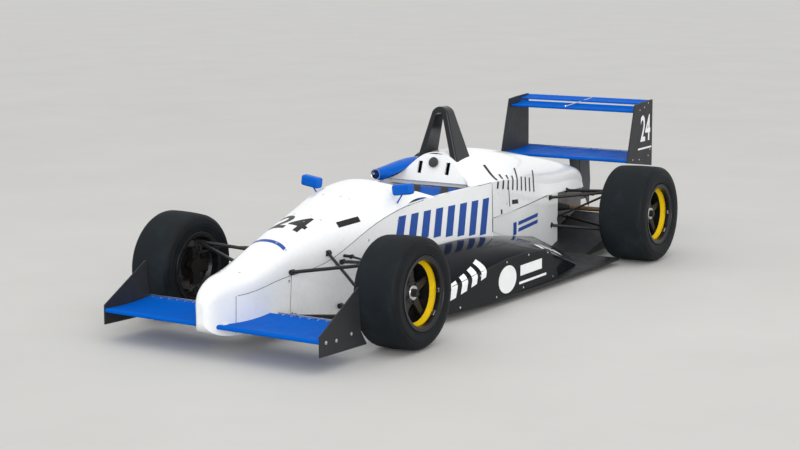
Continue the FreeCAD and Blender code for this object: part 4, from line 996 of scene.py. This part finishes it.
class PODS_OT_trim(bpy.types.Operator):
    """Plain white marks, panel seams and fasteners on the side pods"""

    bl_idname = "racecar.pods"
    bl_label = "Side pod trim"

    def execute(self, context):
        marks = Part()
        for index in range(4):
            y = FRONT_AXLE + 0.575 + index * 0.088
            low = 0.112 + index * 0.022
            mark(marks, [(y, low), (y + 0.050, low + 0.012), (y + 0.072, low + 0.096),
                         (y + 0.022, low + 0.084)])
        angles = [FULL_TURN * index / 32 for index in range(32)]
        mark(marks, [(FRONT_AXLE + 1.118 + 0.098 * math.cos(angle), 0.138 + 0.076 * math.sin(angle))
                     for angle in angles])
        for start, end, low, high in ((1.262, 1.515, 0.132, 0.190), (1.250, 1.570, 0.086, 0.100)):
            slat(marks, FRONT_AXLE + start, FRONT_AXLE + end, low, high)
        for index in range(5):
            y = FRONT_AXLE + 1.560 + index * 0.066
            x = 0.575 - index * 0.006
            mark(marks, [(x, y), (x + 0.046, y + 0.010), (x + 0.044, y + 0.052), (x - 0.002, y + 0.042)],
                 side=False)
        marks.mirrored()
        marks.done("pod_marks", "vinyl", slot="white_paint")
        seams = Part()
        edge = [(FRONT_AXLE + y, z) for y, z in (*POD_PANEL_EDGE[1:-1], (1.645, 0.208), (1.748, 0.052))]
        ribbon(seams, edge)
        seams.mirrored()
        seams.done("pod_seams", "mark_black", slot="black_gloss")
        studs = Part()
        for y, z in ((0.66, 0.066), (1.0, 0.062), (1.3, 0.062), (1.66, 0.062), (0.84, 0.205), (1.11, 0.234),
                     (1.36, 0.234), (1.60, 0.208)):
            fasten(studs, (OUTSIDE, FRONT_AXLE + y, z), (-1, 0, 0), 0.006, SKIN)
        studs.mirrored()
        studs.done("pod_fasteners", "alloy", slot="black_steel")
        return {"FINISHED"}


class MARKS_OT_body(bpy.types.Operator):
    """Seams, plain stripes and the nose number on the white body"""

    bl_idname = "racecar.marks"
    bl_label = "Body marks"

    def execute(self, context):
        self.seams()
        self.stripes()
        self.nose_number(context.scene.racecar_trim.number)
        return {"FINISHED"}

    def seams(self):
        """Joints of the nose, the top, the tub, the cover and its side panels."""
        part = Part()
        front = FRONT_AXLE - 0.535
        top = []
        for index in range(24):
            y = FRONT_AXLE - 0.525 + index * 0.060
            lower = "nose_box" if y < NOSE_JOINT else "monocoque"
            top.append((y, joint_height(y, "nose_cone", lower, 0.20, 0.62)))
        ribbon(part, top)
        ribbon(part, [(front, 0.105), (front, top[0][1])])
        over_nose = joint_height(NOSE_JOINT - 0.004, "nose_cone", "nose_box", 0.2, 0.5)
        ribbon(part, [(NOSE_JOINT, 0.085), (NOSE_JOINT, over_nose - 0.002)])
        ribbon(part, [(BULKHEAD, 0.275), (BULKHEAD, 0.585)])
        ribbon(part, [(y, PANEL_TOP) for y in (0.180, 0.50, 0.80, 1.10)], 0.0034)
        ribbon(part, [(-0.02, 0.5885), (0.172, 0.5895)])
        part.mirrored()
        part.done("body_seams", "seam", slot="charcoal")

    def stripes(self):
        """Plain bars and blocks in the colours of the livery."""
        blue = Part()
        count = 8
        for index in range(count):
            share = index / (count - 1)
            y = FRONT_AXLE + 0.60 + 0.80 * share
            low = 0.400 - 0.095 * share
            high = 0.520 - 0.012 * share
            slat(blue, y, y + 0.068, low, high, 0.20 * (high - low))
        for z in (0.285, 0.245):
            slat(blue, 0.55, 0.89, z, z + 0.022, 0.005)
        slat(blue, 0.475, 0.525, 0.235, 0.310)
        blue.mirrored()
        slat(blue, -0.105, 0.105, FRONT_AXLE - 0.175, FRONT_AXLE - 0.152, side=False)
        blue.done("blue_stripes", "mark_blue", slot="blue_seat")
        black = Part()
        for index in range(9):
            share = index / 8
            y = 0.235 + 0.62 * share
            low = 0.545 - 0.105 * share
            high = low + (0.125 if index % 4 == 0 else 0.080)
            slat(black, y, y + 0.024, low, high, 0.30 * (high - low))
        slat(black, 0.410, 0.420, 0.418, 0.528)
        mark(black, [(0.455, 0.425), (0.555, 0.415), (0.555, 0.440), (0.455, 0.450)])
        start, end = FRONT_AXLE + 0.20, FRONT_AXLE + 0.34
        mark(black, [(start, 0.515), (end, 0.530), (end, 0.556), (start, 0.541)])
        black.mirrored()
        black.done("black_stripes", "mark_black", slot="black_gloss")

    def nose_number(self, text):
        """Plain racing number laid on the nose."""
        mesh = lettering("nose_number", text, 0.20, 0.005)
        part = Part()
        part.mesh.from_mesh(mesh)
        bpy.data.meshes.remove(mesh)
        bmesh.ops.remove_doubles(part.mesh, verts=part.mesh.verts, dist=1e-6)
        part.place(list(part.mesh.verts), Matrix.Translation((0.0, FRONT_AXLE + 0.035, 0.0)))
        lay(part, list(part.mesh.verts), side=False)
        part.done("nose_number", "mark_black", slot="black_gloss")


class BODY_OT_fasteners(bpy.types.Operator):
    """Quarter-turn fasteners on the body and a latch on each side of the cover"""

    bl_idname = "racecar.fasteners"
    bl_label = "Body fasteners"

    def execute(self, context):
        part = Part()
        for y, z in ((-0.42, 0.30), (-0.17, 0.30), (-0.14, 0.13), (0.16, 0.33), (0.38, 0.43), (0.62, 0.50)):
            node = "nose_box" if FRONT_AXLE + y < NOSE_JOINT else "monocoque"
            fasten(part, (OUTSIDE, FRONT_AXLE + y, z), (-1, 0, 0), 0.0075, (node,))
        for y, z in ((0.22, 0.60), (0.42, 0.58), (0.62, 0.54), (0.82, 0.50), (1.02, 0.45)):
            fasten(part, (OUTSIDE, BULKHEAD + y * 0.9, z - 0.16), (-1, 0, 0), 0.0075, ("engine_cover",))
        for y in (-0.46, -0.16, 0.14, 0.40):
            for x in (0.055, 0.11):
                fasten(part, (x, FRONT_AXLE + y, ABOVE), (0, 0, -1), 0.0065, ("nose_cone",))
        part.mirrored()
        part.done("body_fasteners", "alloy", slot="black_steel")
        trim = Part()
        for side in (1, -1):
            _, place, normal = skin((side * OUTSIDE, 0.29, 0.405), (-side, 0, 0), ("engine_cover",))
            trim.block((-0.008, -0.014, -0.003), (0.008, 0.014, 0.003), 0.0015,
                       matrix=facing(place, normal, "Z", "Y"))
        trim.done("cover_latch", "steel", slot="black_steel")
        return {"FINISHED"}


class COCKPIT_OT_build(bpy.types.Operator):
    """Seat, belts, steering wheel, instruments, pad, mirror glass and scoop ring"""

    bl_idname = "racecar.cockpit"
    bl_label = "Cockpit"

    def execute(self, context):
        self.steering_wheel()
        self.seat()
        self.belts()
        self.pad()
        self.instruments()
        self.mirrors()
        self.scoop_ring()
        return {"FINISHED"}

    def steering_wheel(self):
        """Suede rim, slotted spokes, a round boss with bolts and the column."""
        tilt = math.radians(18.0)
        centre = Vector((0.0, FRONT_AXLE + 0.818, 0.520))
        axis = Vector((0, math.cos(tilt), math.sin(tilt)))
        turn = facing(centre, axis)
        part = Part()
        rim = part.hoop([round_about(0.0, 0.130, i / 72) for i in range(72)], 0.0125, 14)
        part.place(rim, turn)
        for angle in (0.0, math.pi, -math.pi / 2):
            part.plate([(0.026, -0.013), (0.060, -0.010), (0.122, -0.011), (0.122, 0.011), (0.060, 0.010),
                        (0.026, 0.013)], 0.0035, 0.001, 1,
                       turn @ Matrix.Rotation(angle, 4, "X") @ edge_on(-0.002))
        part.lathe([(-0.028, 0.0), (-0.028, 0.028), (0.004, 0.030), (0.010, 0.029), (0.0115, 0.024),
                    (0.0115, 0.0)], turn, 40, 1)
        for index in range(6):
            part.bolt(turn @ round_about(0.0108, 0.0205, index / 6), axis, 0.0028, 0.0018, 2, washer=False)
        part.bar(centre - axis * 0.198, centre - axis * 0.02, 0.0088, 16, 0.0, 1)
        piece = part.done("steering_wheel_trim", ("suede", "steel", "alloy"), "steering_wheel", "suede")
        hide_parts("steering_wheel")

    def seat(self):
        """Padded bucket in blue cloth over the moulded shell."""
        data = NODES["seat"].data.copy()
        shell = add_object("seat_cushion", data)
        work = bmesh.new()
        work.from_mesh(data)
        bmesh.ops.remove_doubles(work, verts=work.verts, dist=1e-5)
        work.to_mesh(data)
        work.free()
        remesh = shell.modifiers.new("remesh", "REMESH")
        remesh.mode = "VOXEL"
        remesh.voxel_size = 0.006
        smooth = shell.modifiers.new("smooth", "SMOOTH")
        smooth.factor = 0.5
        smooth.iterations = 12
        done = baked(shell)
        shell.modifiers.clear()
        shell.data = done
        done.materials.clear()
        done.materials.append(FINISHES["seat_cloth"].material)
        for polygon in done.polygons:
            polygon.use_smooth = True
        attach(shell, "chassis")
        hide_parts("seat")

    def belts(self):
        """Two shoulder straps over the seat back, each with a buckle."""
        part = Part()
        rear = FRONT_AXLE + 1.420
        path = [(rear - ahead, z) for ahead, z in (
            (0.030, 0.5665), (0.060, 0.475), (0.100, 0.352), (0.135, 0.25), (0.152, 0.203))]
        outline = path + [(y + 0.0022, z - 0.0008) for y, z in reversed(path)]
        for x in (-0.092, 0.092):
            part.plate(outline, 0.046, 0.0006, 0, edge_on(x - 0.023))
            part.block((-0.027, -0.003, -0.020), (0.027, 0.003, 0.020), 0.002, 2, 1,
                       Matrix.Translation((x, rear - 0.088, 0.39)) @ Matrix.Rotation(-0.31, 4, "X"))
        piece = part.done("shoulder_belts", ("webbing", "alloy"), "chassis", "belt_web")
        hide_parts("harness")

    def pad(self):
        """Round stuffed headrest pad with a piped edge."""
        slope = math.atan2(0.056, 0.152)
        axis = Vector((0, -math.cos(slope), math.sin(slope)))
        turn = facing(middle("headrest_pad"), axis)
        part = Part()
        part.lathe([(-0.0108, 0.0), (-0.0108, 0.024), (-0.0095, 0.0275), (-0.004, 0.0293), (0.003, 0.0288),
                    (0.0042, 0.0296), (0.0056, 0.0288), (0.0062, 0.0270), (0.0088, 0.0215), (0.0104, 0.012),
                    (0.0108, 0.0)], turn, 48)
        piece = part.done("headrest_cushion", "pad_cloth", "chassis", "pad_foam", sharp=80.0)
        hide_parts("headrest_pad")

    def instruments(self):
        """Three round dials with needles, and four switches, on the dash."""
        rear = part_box("dash_panel")[1].y
        part = Part()
        for x, z, radius in ((-0.085, 0.475, 0.034), (0.0, 0.490, 0.040), (0.085, 0.475, 0.034)):
            place = Matrix.Translation((x, rear, z))
            part.lathe([(0.0, radius), (0.008, radius), (0.009, radius * 0.9), (0.003, radius * 0.86),
                        (0.003, 0.0)], place @ Matrix.Rotation(math.pi / 2, 4, "Z"), 40,
                       lambda _, distance, edge=radius: int(distance < edge * 0.8))
            part.block((-0.0015, 0.0035, -0.004), (0.0015, 0.0048, radius * 0.7), 0.0003, 1, 2,
                       place @ Matrix.Rotation(0.7 + x * 9, 4, "Y"))
        for x in (-0.14, -0.12, 0.12, 0.14):
            part.bar((x, rear, 0.43), (x, rear + 0.014, 0.434), 0.003, 8, 0.0006, 2)
        part.done("dash_instruments", ("steel", "matte", "vinyl"), "chassis", "charcoal")

    def scoop_ring(self):
        """Raw metal ring in the scoop's mouth."""
        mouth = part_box("air_scoop")[0].y
        part = Part()
        part.lathe([(0.0, 0.0305), (-0.002, 0.0315), (-0.002, 0.0290), (0.0, 0.0268), (0.030, 0.0262),
                    (0.030, 0.0270), (0.001, 0.0277), (0.0, 0.0305)],
                   Matrix.Translation((-0.256, mouth, 0.636)) @ Matrix.Rotation(math.pi / 2, 4, "Z"))
        part.done("scoop_ring", "alloy", "chassis", "black_steel")

    def mirrors(self):
        """Mirror glass in both housings."""
        part = Part()
        place = Matrix.Translation((0.292, FRONT_AXLE + 0.632, 0.665))
        part.block((-0.049, 0.0215, -0.021), (0.049, 0.0235, 0.021), 0.004, 3, 0,
                   place @ Matrix.Rotation(math.radians(-8), 4, "Y"))
        part.mirrored()
        part.done("mirror_glass", "mirror", "chassis", "black_gloss")


class RUNNING_OT_trim(bpy.types.Operator):
    """Ribs and bolts on the gear case, and boots on the drive shafts"""

    bl_idname = "racecar.running"
    bl_label = "Running gear trim"

    def execute(self, context):
        self.gearbox()
        self.boots()
        return {"FINISHED"}

    def gearbox(self):
        """Ribs down both sides of the gear case and a row of bolts on its top."""
        part = Part()
        for y in (0.80, 0.92, 1.04, 1.16, 1.28, 1.40):
            half = 0.150 if y < REAR_AXLE - 0.12 else 0.150 - (y - REAR_AXLE + 0.12) / 0.31 * 0.058
            for x in (-half, half):
                part.block((x - 0.004, y - 0.004, 0.16), (x + 0.004, y + 0.004, 0.36), 0.0015, 2)
        for index in range(8):
            part.bolt((-0.122 + index * 0.035, 0.90, 0.3898), (0, 0, 1), 0.006, 0.005, 1)
        part.done("gear_case_ribs", ("cast", "alloy"), "chassis", "magnesium")

    def boots(self):
        """Rubber bellows on the drive shafts' joints."""
        part = Part()
        inner = Vector((0.100, REAR_AXLE, 0.282))
        line = Vector((REAR_HALF_TRACK - 0.133, REAR_AXLE, middle("tyre_rear_left").z)) - inner
        length = line.length
        profile = [(0.0, 0.012), (0.0, 0.033)]
        for index in range(7):
            x = 0.035 + index * 0.016
            profile += [(x, 0.0335 - index * 0.0026), (x + 0.008, 0.0285 - index * 0.0026)]
        profile += [(0.150, 0.0155)] + [(length - back, radius) for back, radius in (
            (0.062, 0.0135), (0.060, 0.022), (0.044, 0.029), (0.004, 0.0295), (0.001, 0.026), (0.001, 0.010))]
        part.lathe(profile, facing(inner, line), 40, lambda x, radius: int(0.16 < x < length - 0.064))
        part.mirrored()
        piece = part.done("shaft_boots", ("boot", "bronze"), "chassis", "bronze_steel")
        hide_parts("driveshafts")


class RACECAR_PT_panel(bpy.types.Panel):
    """Buttons for each group of pieces"""

    bl_idname = "RACECAR_PT_panel"
    bl_label = "Race car"
    bl_space_type = "VIEW_3D"
    bl_region_type = "UI"
    bl_category = "Race car"

    def draw(self, context):
        for operator in OPERATORS:
            self.layout.operator(operator.bl_idname)


OPERATORS = (STAGE_OT_build, BODYWORK_OT_paint, WHEELS_OT_build, WINGS_OT_trim, PODS_OT_trim, MARKS_OT_body,
             BODY_OT_fasteners, COCKPIT_OT_build, RUNNING_OT_trim)
CLASSES = (PaintSettings, WheelSettings, TrimSettings, StageSettings, *OPERATORS, RACECAR_PT_panel)


def register():
    for item in CLASSES:
        bpy.utils.register_class(item)
    bpy.types.Scene.racecar_paint = bpy.props.PointerProperty(type=PaintSettings)
    bpy.types.Scene.racecar_wheels = bpy.props.PointerProperty(type=WheelSettings)
    bpy.types.Scene.racecar_trim = bpy.props.PointerProperty(type=TrimSettings)
    bpy.types.Scene.racecar_stage = bpy.props.PointerProperty(type=StageSettings)


def unregister():
    del bpy.types.Scene.racecar_stage
    del bpy.types.Scene.racecar_trim
    del bpy.types.Scene.racecar_wheels
    del bpy.types.Scene.racecar_paint
    for item in reversed(CLASSES):
        bpy.utils.unregister_class(item)


def main():
    register()
    for operator in OPERATORS:
        group, name = operator.bl_idname.split(".")
        getattr(getattr(bpy.ops, group), name)()


if __name__ == "__main__":
    main()
